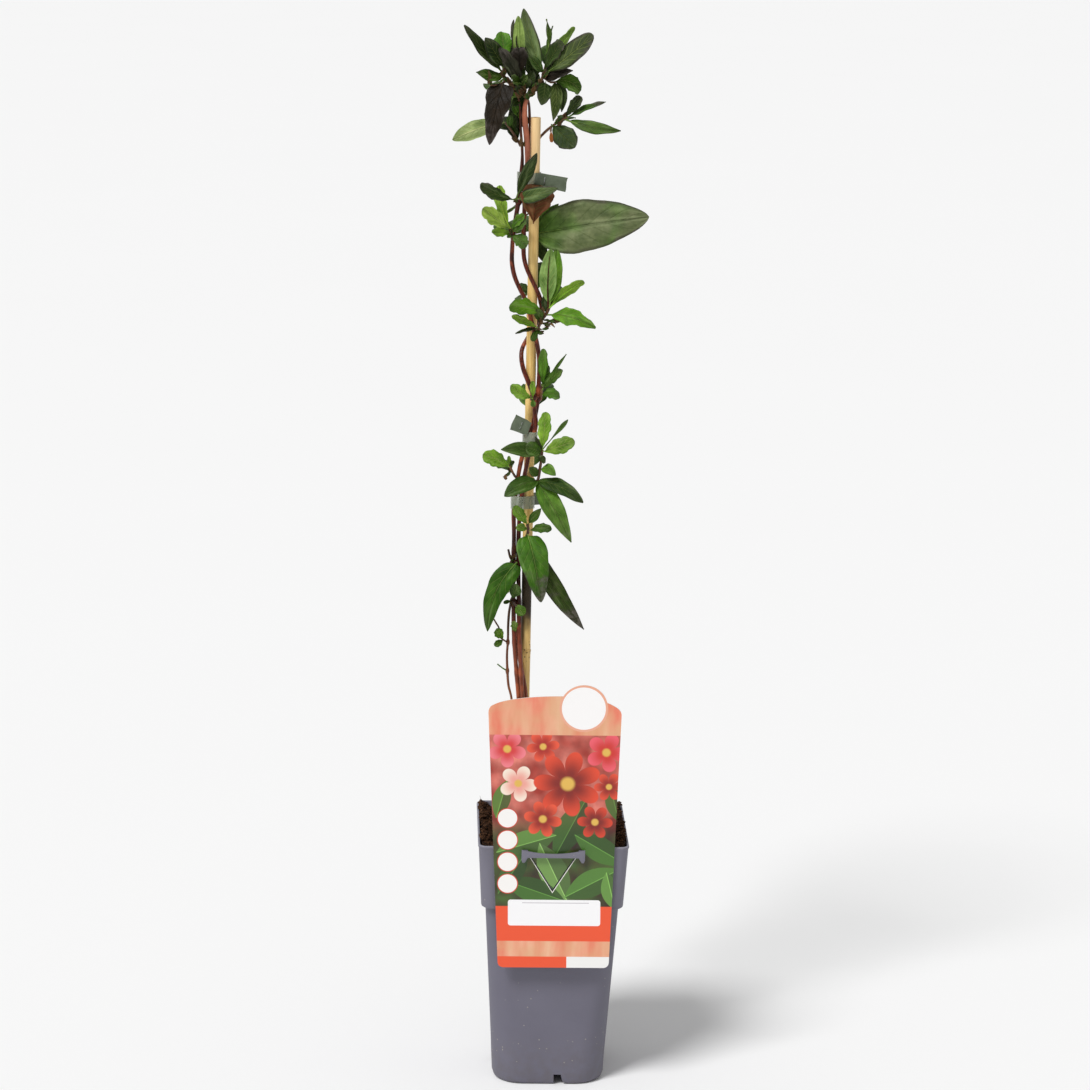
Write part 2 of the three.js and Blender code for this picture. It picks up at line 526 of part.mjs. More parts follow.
        route: [
          [-35, 3, 329.5], [-38.5, 0, 332.5], [-41.5, -1.5, 335.5], [-41.5, -1, 341],
          [-43.5, -0.5, 344.5], [-46, 0, 348.5],
        ],
      },
    ],
    leaves: [
      [[-39, -0.5, 333], [-44, -5, 342], 7, [0, -3, 1], BLUNT, 0.8, 0.2, 0.5, 0],
      [[-38.5, 0, 332.5], [-45, -5, 329], 5, [0, -3, 1], BLUNT, 0.8, 0.3, 0, 0],
    ],
  },
  thin_stem_twig: {
    colour: GREEN,
    knot: [-35, 3, 308, 2.3],
    shoots: [
      { radius: 0.5, route: [[-35, 3, 308], [-38.5, 1, 310.5], [-42.5, -0.5, 314]] },
    ],
    leaves: [],
  },
};

// ---- solids ----

const vector = ([x, y, z]) => new THREE.Vector3(x, y, z);

// A closed three.js geometry as a solid that can be joined and cut.
function toSolid(geometry) {
  const bare = geometry.clone();
  bare.deleteAttribute("normal");
  bare.deleteAttribute("uv");
  const merged = mergeVertices(bare, 1e-4);
  const mesh = new wasm.Mesh({
    numProp: 3,
    vertProperties: new Float32Array(merged.attributes.position.array),
    triVerts: new Uint32Array(merged.index.array),
  });
  return new wasm.Manifold(mesh);
}

function toGeometry(body) {
  const mesh = body.getMesh();
  const geometry = new THREE.BufferGeometry();
  geometry.setAttribute("position", new THREE.BufferAttribute(mesh.vertProperties, 3));
  geometry.setIndex(new THREE.BufferAttribute(mesh.triVerts, 1));
  return geometry;
}

const join = (bodies) => bodies.reduce((whole, body) => whole.add(body));
const cut = (body, tools) => tools.reduce((rest, tool) => rest.subtract(tool), body);

// The one piece that stays when a cut leaves a scrap behind.
function largest(body) {
  return body.decompose().reduce((best, piece) => (piece.volume() > best.volume() ? piece : best));
}

// A body through rings of equal count, closed at both ends by fans.
function loft(rings) {
  const count = rings[0].length;
  const positions = rings.flat().flatMap((point) => [point.x, point.y, point.z]);
  const index = [];
  for (let r = 0; r + 1 < rings.length; r += 1) {
    for (let i = 0; i < count; i += 1) {
      const next = (i + 1) % count;
      const [a, b] = [r * count + i, r * count + next];
      index.push(a, b, b + count, a, b + count, a + count);
    }
  }
  const last = (rings.length - 1) * count;
  for (let i = 1; i + 1 < count; i += 1) {
    index.push(0, i + 1, i);
    index.push(last, last + i, last + i + 1);
  }
  const geometry = new THREE.BufferGeometry();
  geometry.setAttribute("position", new THREE.Float32BufferAttribute(positions, 3));
  geometry.setIndex(index);
  return geometry;
}

// A rounded square, anticlockwise seen from above.
function squareRing(half, corner, z) {
  const points = [];
  for (let quarter = 0; quarter < 4; quarter += 1) {
    for (let step = 0; step <= CORNER_STEPS; step += 1) {
      const angle = (Math.PI / 2) * (quarter + step / CORNER_STEPS);
      const middle = (Math.PI / 2) * (quarter + 0.5);
      const reach = (half - corner) * Math.SQRT2;
      const x = reach * Math.cos(middle) + corner * Math.cos(angle);
      const y = reach * Math.sin(middle) + corner * Math.sin(angle);
      points.push(new THREE.Vector3(x, y, z));
    }
  }
  return points;
}

// An extruded outline in the XZ plane, from its back face at y towards the front.
function plate(shape, backY, thick) {
  const geometry = new THREE.ExtrudeGeometry(shape, { depth: thick, bevelEnabled: false, curveSegments: 10 });
  geometry.rotateX(Math.PI / 2);
  geometry.translate(0, backY, 0);
  return geometry;
}

function box(x0, x1, y0, y1, z0, z1) {
  const geometry = new THREE.BoxGeometry(x1 - x0, y1 - y0, z1 - z0);
  geometry.translate((x0 + x1) / 2, (y0 + y1) / 2, (z0 + z1) / 2);
  return geometry;
}

// ---- pot ----

function wallHalf(z) {
  if (z < COLLAR_FOOT_Z) {
    const share = (z - BODY_FOOT_Z) / (COLLAR_FOOT_Z - BODY_FOOT_Z);
    return BODY_FOOT_HALF + (BODY_TOP_HALF - BODY_FOOT_HALF) * share;
  }
  const share = (z - COLLAR_FOOT_Z) / (POT_HEIGHT - COLLAR_FOOT_Z);
  return COLLAR_FOOT_HALF + (RIM_HALF - COLLAR_FOOT_HALF) * share;
}

function wallCorner(z) {
  if (z < COLLAR_FOOT_Z) {
    const share = Math.max(0, z - BODY_FOOT_Z) / (COLLAR_FOOT_Z - BODY_FOOT_Z);
    return BASE_CORNER + (BODY_CORNER - BASE_CORNER) * share;
  }
  return BODY_CORNER + ((RIM_CORNER - BODY_CORNER) * (z - COLLAR_FOOT_Z)) / (POT_HEIGHT - COLLAR_FOOT_Z);
}

const outerRing = (z) => squareRing(wallHalf(z), wallCorner(z), z);
const innerRing = (z, gap) => squareRing(wallHalf(z) - POT_WALL - gap, wallCorner(z) - POT_WALL - gap, z);

// The ledge inside the collar's foot, from its upper edge down, one wall above the step outside.
function innerStep(gap) {
  const [upper, lower] = [COLLAR_FOOT_HALF - POT_WALL - gap, BODY_TOP_HALF - POT_WALL - gap];
  const corner = BODY_CORNER - POT_WALL - gap;
  const z = COLLAR_FOOT_Z + POT_WALL + gap;
  return [squareRing(upper, corner, z + 1.6), squareRing(lower, corner, z)];
}

function potCup() {
  const stepUnder = COLLAR_FOOT_Z;
  const outside = [
    squareRing(BASE_HALF, BASE_CORNER - 3, 0),
    squareRing(BASE_HALF + 2.2, BASE_CORNER - 1, 1),
    squareRing(BODY_FOOT_HALF - 0.3, BASE_CORNER, 4.5),
    outerRing(BODY_FOOT_Z),
    squareRing(BODY_TOP_HALF, BODY_CORNER, stepUnder),
    squareRing(COLLAR_FOOT_HALF - 0.9, BODY_CORNER, stepUnder + 0.2),
    squareRing(COLLAR_FOOT_HALF, BODY_CORNER, stepUnder + 1.4),
    outerRing(POT_HEIGHT - 0.6),
    squareRing(RIM_HALF - 0.4, RIM_CORNER - 0.4, POT_HEIGHT),
  ];
  const inside = [
    squareRing(RIM_HALF - POT_WALL + 0.2, RIM_CORNER - POT_WALL + 0.2, POT_HEIGHT),
    innerRing(POT_HEIGHT - 0.6, 0),
    ...innerStep(0),
    innerRing(BODY_FOOT_Z, 0),
    squareRing(BODY_FOOT_HALF - POT_WALL - 0.6, BASE_CORNER - POT_WALL, POT_FLOOR + 2.4),
    squareRing(BASE_HALF - POT_WALL, BASE_CORNER - 4, POT_FLOOR),
  ];
  return toSolid(loft([...outside, ...inside]));
}

// The section of a drain channel, which runs in the base from one side's foot to the other's.
function channelOutline(grow, foot) {
  const outline = new THREE.Shape();
  outline.moveTo(DRAIN.inner - grow, foot);
  outline.lineTo(DRAIN.inner - grow, DRAIN.height + grow);
  outline.lineTo(DRAIN.outer - 1.2 + grow, DRAIN.height + grow);
  outline.lineTo(DRAIN.outer + grow, DRAIN.height - 5.5);
  outline.lineTo(DRAIN.foot + grow, foot);
  return outline;
}

// Two channels of that section, one from front to back and one from side to side.
function channels(grow, foot, reach) {
  return join([0, 1].map((side) => {
    const geometry = plate(channelOutline(grow, foot), reach, 2 * reach);
    geometry.rotateZ((Math.PI / 2) * side);
    return toSolid(geometry);
  }));
}

function labelBar() {
  const outline = new THREE.Shape();
  outline.moveTo(-BAR_HALF, BAR_TOP);
  outline.quadraticCurveTo(0, 2 * BAR_DIP - BAR_TOP, BAR_HALF, BAR_TOP);
  outline.lineTo(BAR_HALF, BAR_FOOT - 1.6);
  outline.lineTo(BAR_HALF - 0.7, BARB_FOOT);
  outline.lineTo(BAR_HALF - 2.4, BARB_FOOT);
  outline.lineTo(BAR_HALF - 4.6, BAR_FOOT);
  outline.lineTo(-BAR_HALF + 4.6, BAR_FOOT);
  outline.lineTo(-BAR_HALF + 2.4, BARB_FOOT);
  outline.lineTo(-BAR_HALF + 0.7, BARB_FOOT);
  outline.lineTo(-BAR_HALF, BAR_FOOT - 1.6);
  const bar = toSolid(plate(outline, BAR_FRONT_Y + BAR_THICK, BAR_THICK));
  const posts = [-POST_X, POST_X].map((x) => {
    const [left, right] = [x - POST_WIDE / 2, x + POST_WIDE / 2];
    return toSolid(box(left, right, BAR_FRONT_Y + 0.5, -RIM_HALF + 0.9, POST_FOOT, POST_TOP));
  });
  return join([bar, ...posts]).translate([BAR_CENTRE_X, 0, 0]);
}

function pot() {
  const roofs = channels(POT_WALL, 0, BASE_HALF - POT_WALL);
  return cut(join([potCup(), roofs, labelBar()]), [channels(0, -1, RIM_HALF)]);
}

// ---- label ----

// A point of the label from its own upright middle line, leaned.
const labelX = (x, z) => LABEL_CENTRE_X + x + LABEL_LEAN * (z - LABEL_FOOT);

function label() {
  const outline = new THREE.Shape();
  const [foot, footHalf, round] = [LABEL_FOOT, LABEL_FOOT_HALF, LABEL_CORNER];
  outline.moveTo(labelX(-footHalf + round, foot), foot);
  outline.lineTo(labelX(footHalf - round, foot), foot);
  outline.quadraticCurveTo(labelX(footHalf, foot), foot, labelX(footHalf + 0.2, foot), foot + round);
  outline.lineTo(labelX(LABEL_SHOULDER_HALF, LABEL_SHOULDER - 3), LABEL_SHOULDER - 3);
  outline.quadraticCurveTo(
    labelX(LABEL_SHOULDER_HALF, LABEL_SHOULDER), LABEL_SHOULDER,
    labelX(LABEL_SHOULDER_HALF - 3, LABEL_SHOULDER + 2.6), LABEL_SHOULDER + 2.6,
  );
  outline.absarc(MEDAL.x, MEDAL.z, MEDAL.radius, 0.45, 2.6, false);
  outline.quadraticCurveTo(labelX(-14, LABEL_ARCH), LABEL_ARCH, labelX(-30, LABEL_ARCH - 3), LABEL_ARCH - 3);
  outline.quadraticCurveTo(
    labelX(-40, LABEL_ARCH - 5), LABEL_ARCH - 5,
    labelX(-LABEL_SHOULDER_HALF + 2, LABEL_SHOULDER + 1), LABEL_SHOULDER + 1,
  );
  outline.quadraticCurveTo(
    labelX(-LABEL_SHOULDER_HALF, LABEL_SHOULDER - 1), LABEL_SHOULDER - 1,
    labelX(-LABEL_SHOULDER_HALF, LABEL_SHOULDER - 4), LABEL_SHOULDER - 4,
  );
  outline.lineTo(labelX(-footHalf - 0.2, foot), foot + round);
  outline.quadraticCurveTo(labelX(-footHalf, foot), foot, labelX(-footHalf + round, foot), foot);

  const tongue = new THREE.Path();
  const middle = BAR_CENTRE_X;
  tongue.moveTo(middle - SLIT.half, SLIT.top);
  tongue.lineTo(middle, SLIT.foot);
  tongue.lineTo(middle + SLIT.half, SLIT.top);
  tongue.lineTo(middle + SLIT.half - SLIT.wide, SLIT.top);
  tongue.lineTo(middle, SLIT.foot + SLIT.wide * 1.9);
  tongue.lineTo(middle - SLIT.half + SLIT.wide, SLIT.top);
  outline.holes.push(tongue);

  const slots = [-1, 1].map((side) => {
    const x = BAR_CENTRE_X + side * POST_X;
    const reach = POST_WIDE / 2 + GAP;
    const [back, front] = [LABEL_BACK_Y + 1, LABEL_BACK_Y - LABEL_THICK - 1];
    return toSolid(box(x - reach, x + reach, front, back, POST_FOOT - GAP, POST_TOP + GAP));
  });
  return cut(toSolid(plate(outline, LABEL_BACK_Y, LABEL_THICK)), slots);
}

// ---- cane ----

function caneSolid(grow) {
  const { radius, foot, top, sides } = CANE;
  const profile = [new THREE.Vector2(0, foot - grow), new THREE.Vector2(radius * 0.94 + grow, foot - grow)];
  for (const knot of CANE_KNOTS) {
    profile.push(new THREE.Vector2(radius + grow, knot - 3));
    profile.push(new THREE.Vector2(radius + 0.35 + grow, knot));
    profile.push(new THREE.Vector2(radius - 0.05 + grow, knot + 2));
  }
  profile.push(new THREE.Vector2(radius * 0.97 + grow, top + grow));
  profile.push(new THREE.Vector2(0, top + grow));
  const geometry = new THREE.LatheGeometry(profile, sides);
  geometry.rotateX(Math.PI / 2);
  geometry.translate(CANE.x, CANE.y, 0);
  return toSolid(geometry);
}

// ---- stems ----

// A smooth curve whose sections stand at the route's own points, which lie closer in bends.
class Route extends THREE.CatmullRomCurve3 {
  getUtoTmapping(u) {
    return u;
  }
}

function tube(route, radius, sides) {
  const extrudePath = new Route(route.map(vector), false, "centripetal");
  const corners = Array.from({ length: sides }, (_, side) => {
    const angle = (2 * Math.PI * side) / sides;
    return new THREE.Vector2(radius * Math.cos(angle), radius * Math.sin(angle));
  });
  const section = new THREE.Shape(corners);
  const settings = { steps: route.length - 1, extrudePath, bevelEnabled: false };
  return toSolid(new THREE.ExtrudeGeometry(section, settings));
}

// The stem, or the space round it that other pieces keep clear of.
function stemSolid(stem, grow) {
  const route = stem.route.map((point) => [...point]);
  route[0][2] -= grow;
  route.at(-1)[2] += grow;
  return tube(route, stem.radius + grow, STEM_SIDES);
}

// Where a stem's middle line stands at a height.
function stemAt(stem, z) {
  const upper = stem.route.findIndex((point) => point[2] > z);
  const [a, b] = [stem.route[upper - 1], stem.route[upper]];
  const share = (z - a[2]) / (b[2] - a[2]);
  return [a[0] + (b[0] - a[0]) * share, a[1] + (b[1] - a[1]) * share];
}

// ---- leaves ----

const halfWidthShare = (shape, t) => Math.sin(Math.PI * t ** shape.lean) ** shape.full;

function leafSolid([from, to, width, faces, shape, arch, fold, wave, sweep]) {
  const start = vector(from);
  const chord = vector(to).sub(start);
  const length = chord.length();
  const along = chord.clone().normalize();
  const up = vector(faces).addScaledVector(along, -vector(faces).dot(along)).normalize();
  const side = new THREE.Vector3().crossVectors(along, up);
  const stalk = Math.min(STALK_LONGEST, STALK_SHARE * length) / length;
  const parts = Math.min(7, Math.max(3, Math.round(length / STATION_PITCH)));
  const across = length < SMALL_LEAF ? [-1, 1] : [-1, 0, 1];

  const rings = [];
  for (let station = -1; station <= parts; station += 1) {
    const t = station < 0 ? 0 : 0.5 - 0.5 * Math.cos((Math.PI * station) / parts);
    const s = station < 0 ? 0 : stalk + (1 - stalk) * t;
    const inStalk = station <= 0;
    const blade = Math.max(TIP_HALF, (width / 2) * halfWidthShare(shape, t));
    const half = inStalk ? STALK_HALF : blade;
    const thick = inStalk ? STALK_THICK : BLADE_THICK;
    const bow = 4 * s * (1 - s);
    const slope = (4 * arch * (1 - 2 * s)) / length;
    const normal = up.clone().addScaledVector(along, -slope).normalize();
    const middle = start.clone().addScaledVector(along, s * length);
    middle.addScaledVector(up, bow * arch).addScaledVector(side, bow * sweep);
    const lift = (u) => (inStalk ? 0 : Math.abs(u) * (fold * half + wave * Math.sin(9 * t + 1.4 * u)));
    const place = (u, face) =>
      middle.clone().addScaledVector(side, u * half).addScaledVector(normal, lift(u) + (face * thick) / 2);
    rings.push([...across.map((u) => place(u, 1)), ...across.toReversed().map((u) => place(u, -1))]);
  }
  return toSolid(bladeGeometry(rings));
}

// The skin through a leaf's sections, each its upper and then its lower points. Both faces are split alike.
function bladeGeometry(rings) {
  const count = rings[0].length;
  const upper = count / 2;
  const last = (rings.length - 1) * count;
  const index = [];
  for (let here = 0; here < last; here += count) {
    for (let i = 0; i < count; i += 1) {
      const j = (i + 1) % count;
      const [a, b, c, d] = [here + i, here + j, here + count + j, here + count + i];
      index.push(...(i < upper ? [a, b, c, a, c, d] : [a, b, d, b, c, d]));
    }
  }
  for (let i = 0; i + 1 < upper; i += 1) {
    const [a, b, c, d] = [i, i + 1, count - 2 - i, count - 1 - i];
    index.push(a, c, b, a, d, c);
    index.push(last + a, last + b, last + c, last + a, last + c, last + d);
  }
  const geometry = new THREE.BufferGeometry();
  const positions = rings.flat().flatMap((point) => [point.x, point.y, point.z]);
  geometry.setAttribute("position", new THREE.Float32BufferAttribute(positions, 3));
  geometry.setIndex(index);
  return geometry;
}

// A short swollen ring where leaves leave a stem.
function knot([x, y, z, radius]) {
  const geometry = new THREE.CylinderGeometry(radius * 0.95, radius, 4, KNOT_SIDES);
  geometry.rotateX(Math.PI / 2);
  geometry.translate(x, y, z);
  return toSolid(geometry);
}

function spraySolid(spray, clearances) {
  const bodies = spray.shoots.map((shoot) => tube(shoot.route, shoot.radius, SHOOT_SIDES));
  bodies.push(...spray.leaves.map(leafSolid));
  if (spray.knot) {
    bodies.push(knot(spray.knot));
  }
  return largest(cut(join(bodies), clearances));
}

// ---- soil ----

function soilHeight(x, y) {
  const edge = Math.max(Math.abs(x) - SOIL_DISH, 0) / (RIM_HALF - SOIL_DISH);
  const heap = SOIL_HEAP * edge ** 1.5;
  const lumps = Math.sin(0.31 * x + 1.3) * Math.cos(0.27 * y - 0.6) + 0.7 * Math.sin(0.73 * x - 0.52 * y);
  return SOIL_TOP + heap + SOIL_LUMP * lumps;
}

function soil(cutters) {
  const rings = [
    squareRing(BASE_HALF - POT_WALL - 1, BASE_CORNER - 4, POT_FLOOR + GAP),
    squareRing(BODY_FOOT_HALF - POT_WALL - 1, BASE_CORNER - POT_WALL - GAP, POT_FLOOR + 2.4),
    innerRing(BODY_FOOT_Z, GAP),
    ...innerStep(GAP).toReversed(),
  ];
  for (const share of SOIL_RINGS) {
    const ring = innerRing(SOIL_TOP, GAP);
    for (const point of ring) {
      point.x *= share;
      point.y *= share;
      point.z = soilHeight(point.x, point.y);
    }
    rings.push(ring);
  }
  return cut(toSolid(loft(rings)), [channels(POT_WALL + GAP, -1, RIM_HALF), ...cutters]);
}

// ---- film ties ----

function hull(points) {
  const sorted = [...points].sort((a, b) => a[0] - b[0] || a[1] - b[1]);
  const turn = (o, a, b) => (a[0] - o[0]) * (b[1] - o[1]) - (a[1] - o[1]) * (b[0] - o[0]);
  const half = (list) => {
    const chain = [];
    for (const point of list) {
      while (chain.length > 1 && turn(chain.at(-2), chain.at(-1), point) <= 1e-6) {
        chain.pop();
      }
      chain.push(point);
    }
    return chain.slice(0, -1);
  };
  return [...half(sorted), ...half(sorted.reverse())];
}

// The outline that a film pulled tight round the strands takes, grown by a distance.
function wrapShape(strands, grow) {
  const points = strands.flatMap(([x, y, radius]) =>
    Array.from({ length: WRAP_SIDES }, (_, i) => {
      const angle = (2 * Math.PI * i) / WRAP_SIDES;
      const reach = (radius + grow) / Math.cos(Math.PI / WRAP_SIDES);
      return [x + reach * Math.cos(angle), y + reach * Math.sin(angle)];
    }),
  );
  return new THREE.Shape(hull(points).map(([x, y]) => new THREE.Vector2(x, y)));
}

function prism(shape, foot, top) {
  const geometry = new THREE.ExtrudeGeometry(shape, { depth: top - foot, bevelEnabled: false });
  geometry.translate(0, 0, foot);
  return toSolid(geometry);
}

function tieStrands(tie) {
  const middle = (tie.foot + tie.top) / 2;
  const strands = [[CANE.x, CANE.y, CANE.radius + 0.1]];
  for (const z of [tie.foot, middle, tie.top]) {
    strands.push(...Object.values(STEMS).slice(0, 3).map((stem) => [...stemAt(stem, z), stem.radius]));
  }
  return strands;
}

// A piece of the tail or of its staple, laid out along +X and then set at the tail's root.
function onTail(tie, geometry) {
  geometry.rotateY(tie.dip);
  geometry.rotateZ(tie.turn);
  geometry.translate(...tie.root);
  return toSolid(geometry);
}

// The loop with its tail, before the strands and the staple are cut out of it.
function tieBlank(tie, grow) {
  const band = prism(wrapShape(tieStrands(tie), GAP + FILM + grow), tie.foot - grow, tie.top + grow);
  const [thick, high] = [TAIL_THICK / 2 + grow, tie.tailHeight / 2 + grow];
  return join([band, onTail(tie, box(0, tie.tail + grow, -thick, thick, -high, high))]);
}

function tieSolid(tie) {
  const inside = prism(wrapShape(tieStrands(tie), GAP), tie.foot - 20, tie.top + 20);
  const holes = [-1, 1].map((end) => {
    const reach = STAPLE_WIRE / 2 + GAP;
    const z = end * STAPLE_LEG;
    return onTail(tie, box(tie.staple - reach, tie.staple + reach, -5, 5, z - reach, z + reach));
  });
  return largest(cut(tieBlank(tie, 0), [inside, ...holes]));
}

// A staple's outline in its own plane: a crown in front of the tail, two legs through it, and turned-in ends.
function stapleSolid(tie) {
  const wire = STAPLE_WIRE;
  const front = TAIL_THICK / 2 + GAP;
  const [reach, end] = [STAPLE_LEG + wire / 2, 0.5];
  const points = [
    [front + wire, -reach], [front + wire, reach], [-front - wire, reach], [-front - wire, end],
    [-front, end], [-front, reach - wire], [front, reach - wire], [front, -reach + wire],
    [-front, -reach + wire], [-front, -end], [-front - wire, -end], [-front - wire, -reach],
  ];
  const outline = new THREE.Shape(points.map(([x, y]) => new THREE.Vector2(x, y)));
  const geometry = new THREE.ExtrudeGeometry(outline, { depth: wire, bevelEnabled: false });
  geometry.rotateX(Math.PI / 2);
  geometry.rotateZ(-Math.PI / 2);
  geometry.translate(tie.staple + wire / 2, 0, 0);
  return onTail(tie, geometry);
}

// ---- the whole plant ----

const plant = new THREE.Group();

function addPiece(name, body, colour, roughness, metalness = 0) {
  const material = new THREE.MeshStandardMaterial({ color: colour, roughness, metalness });
  const mesh = new THREE.Mesh(toGeometry(body), material);
  mesh.name = name;
  plant.add(mesh);
}

const stems = Object.entries(STEMS);
const soilHoles = [caneSolid(GAP), ...stems.map(([, stem]) => stemSolid(stem, GAP))];
const shootSpaces = [
  caneSolid(LEAF_CLEARANCE),
  ...stems.map(([, stem]) => stemSolid(stem, LEAF_CLEARANCE)),
  ...TIES.map((tie) => tieBlank(tie, LEAF_CLEARANCE)),
];

addPiece("pot", pot(), POT_GREY, 0.6);
addPiece("soil", soil(soilHoles), SOIL_BROWN, 0.95);
addPiece("label_card", label(), LABEL_SALMON, 0.35);
addPiece("bamboo_cane", caneSolid(0), BAMBOO, 0.5);
for (const [name, stem] of stems) {
  addPiece(name, stemSolid(stem, 0), name === "stem_thin" ? TWIG_BROWN : STEM_RED, 0.6);
}
for (const tie of TIES) {
  addPiece(`tie_${tie.name}`, tieSolid(tie), FILM_GREEN, 0.35);
  addPiece(`staple_${tie.name}`, stapleSolid(tie), STEEL, 0.3, 1);
}
for (const [name, spray] of Object.entries(SPRAYS)) {
  addPiece(name, spraySolid(spray, shootSpaces), spray.colour, 0.55);
}

export default plant;
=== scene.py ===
"""The looks of a young honeysuckle tied to a bamboo cane in a tall square nursery pot, with a hanging label.
Lengths are millimetres, and are turned into metres where a piece is made."""

import math
import random

import bmesh
import bpy
import numpy as np
from mathutils import Matrix, Vector


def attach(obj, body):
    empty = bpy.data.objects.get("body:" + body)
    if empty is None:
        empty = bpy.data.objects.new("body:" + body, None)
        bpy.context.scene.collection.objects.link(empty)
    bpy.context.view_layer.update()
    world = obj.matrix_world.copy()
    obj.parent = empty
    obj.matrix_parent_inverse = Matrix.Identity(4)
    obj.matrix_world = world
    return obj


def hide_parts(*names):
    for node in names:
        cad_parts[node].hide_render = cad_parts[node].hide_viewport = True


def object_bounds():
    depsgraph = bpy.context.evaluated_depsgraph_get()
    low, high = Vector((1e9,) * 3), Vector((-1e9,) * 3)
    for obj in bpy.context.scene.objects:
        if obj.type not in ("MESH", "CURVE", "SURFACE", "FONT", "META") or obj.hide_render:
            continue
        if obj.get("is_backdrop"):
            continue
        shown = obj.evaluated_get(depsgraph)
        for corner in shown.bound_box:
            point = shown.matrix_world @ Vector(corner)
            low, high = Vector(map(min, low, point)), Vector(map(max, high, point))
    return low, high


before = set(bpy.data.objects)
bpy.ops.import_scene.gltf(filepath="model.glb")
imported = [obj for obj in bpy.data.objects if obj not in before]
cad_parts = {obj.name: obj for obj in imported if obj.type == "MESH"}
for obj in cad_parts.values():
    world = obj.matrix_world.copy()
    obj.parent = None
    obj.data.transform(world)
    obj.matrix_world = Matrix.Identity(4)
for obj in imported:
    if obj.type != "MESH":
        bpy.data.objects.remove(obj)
PACKED_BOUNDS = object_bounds()

MM = 0.001

# ---- pot, label and cane, as in the solids ----

POT_HEIGHT = 191
RIM_HALF = 55
COLLAR_FOOT_HALF = 52.3
COLLAR_FOOT_Z = 141.5
BODY_TOP_HALF = 49.2
BODY_FOOT_HALF = 42.2
BODY_FOOT_Z = 13
BASE_HALF = 38.5
POT_WALL = 1.3
POT_FLOOR = 2.2
RIM_CORNER = 6
BODY_CORNER = 9
BASE_CORNER = 22
CHANNEL = [(3.9, 0), (3.9, 7.9), (9.3, 7.9), (10.5, 2.4), (14, 0)]  # section of the drain channels

BAR_CENTRE = -0.6
BAR_HALF = 23.2
BAR_FRONT = -61
BAR_THICK = 1.5
BAR_LOW = 187.4
POST_X, POST_Z, POST_HALF_WIDE, POST_HALF_HIGH = 20.2, 187.15, 1.6, 2.05
POST_PLAY = 0.35  # between a post and its slot in the label

LABEL_BACK = -56.4
LABEL_THICK = 0.8
LABEL_FOOT = 98.4
LABEL_LEAN = -0.0165
LABEL_CENTRE = 1.2
MEDAL_X, MEDAL_Z, MEDAL_RADIUS = 19.3, 297, 17.5
SLIT_HALF, SLIT_TOP, SLIT_FOOT, SLIT_GAP = 16.4, 183.4, 157, 1.1

SOIL_TOP = 177
SOIL_DISH = 26
SOIL_HEAP = 16
SOIL_CORNER = 5.5
SOIL_GRID = 72  # squares along each side of its surface
SOIL_PLAY = 0.35  # between the soil and what it touches
HOLE_FOOT, HOLE_TOP = 140, 230
CRUMBS, FIBRES = 1900, 560

CANE_X, CANE_Y, CANE_RADIUS, CANE_TOP = -21.9, 4, 3.7, 716
CANE_KNOTS = [205, 324, 448, 574]

TIES = {
    "upper": {"foot": 667.5, "top": 677, "root": (-21.9, -0.85, 673), "tail": 23, "high": 9.5,
              "turn": -0.1, "dip": 0.17, "staple": 7},
    "middle": {"foot": 479.5, "top": 490, "root": (-22.5, -7.6, 492.5), "tail": 13, "high": 11,
               "turn": 2.95, "dip": -0.36, "staple": 6.5},
    "lower": {"foot": 431.5, "top": 441, "root": (-24, 12.4, 436), "tail": 17, "high": 9,
              "turn": 0.5, "dip": 0.05, "staple": 7},
}
FILM_PLAY, FILM_THICK, TAIL_THICK = 0.35, 0.55, 0.5
STAPLE_FRONT, STAPLE_LEG, STAPLE_RADIUS = 0.95, 2.6, 0.3

# ---- stems and leaves ----

# How a blade widens and narrows: the half width at t is sin(pi t^lean)^full of the widest.
LANCE = (0.85, 0.9)
OVATE = (0.8, 0.62)
ROUND = (0.62, 0.6)
BLUNT = (1.1, 0.62)

# How round the tip is, how late the blade is widest and how deep its lobes are, for each outline.
OUTLINES = {
    LANCE: (0.2, 1.0, 0.015),
    OVATE: (0.0, 1.0, 0.015),
    ROUND: (0.0, 1.0, 0.02),
    BLUNT: (0.55, 1.2, 0.1),
}

VEIN_PAIRS, VEIN_SLANT = 6.5, 0.3
BLADE_THICK = 0.4
LARGE_LEAF = 26  # from this length on a leaf has more points
TINY_LEAF = 13  # up to this length its lobes are shallower
FULL_RELIEF = 60  # from this length on its blade is fully crumpled
RIB_SLIM, RIB_MOST = 60, 0.7  # a leaf's length over its rib's radius at the foot, and the most that can be
RIB_DEPTH = 0.28  # how far the midrib's middle lies under the blade's

GREEN, DARK, YOUNG, PURPLE, RUSSET = "green", "dark", "young", "purple", "russet"

# The colours of a blade's upper and under face.
TONES = {
    GREEN: ((76, 118, 16), (146, 172, 88)),
    DARK: ((44, 68, 12), (122, 142, 76)),
    YOUNG: ((142, 184, 52), (160, 194, 92)),
    PURPLE: ((42, 30, 18), (78, 60, 50)),
    RUSSET: ((124, 66, 40), (126, 66, 42)),
}

# How far the margin and the tip are stained, how pale the midrib is, and how strong the grey bloom, partly
# waxy and partly painted reflection.
MARKS = {
    GREEN: (0.45, 0.3, 0.25, 0.1),
    DARK: (1.0, 0.35, 0.15, 0.12),
    YOUNG: (0.12, 0.1, 0.62, 0.08),
    PURPLE: (0.9, 0.5, 0.0, 0.0),
    RUSSET: (0.3, 0.2, 0.1, 0.1),
}


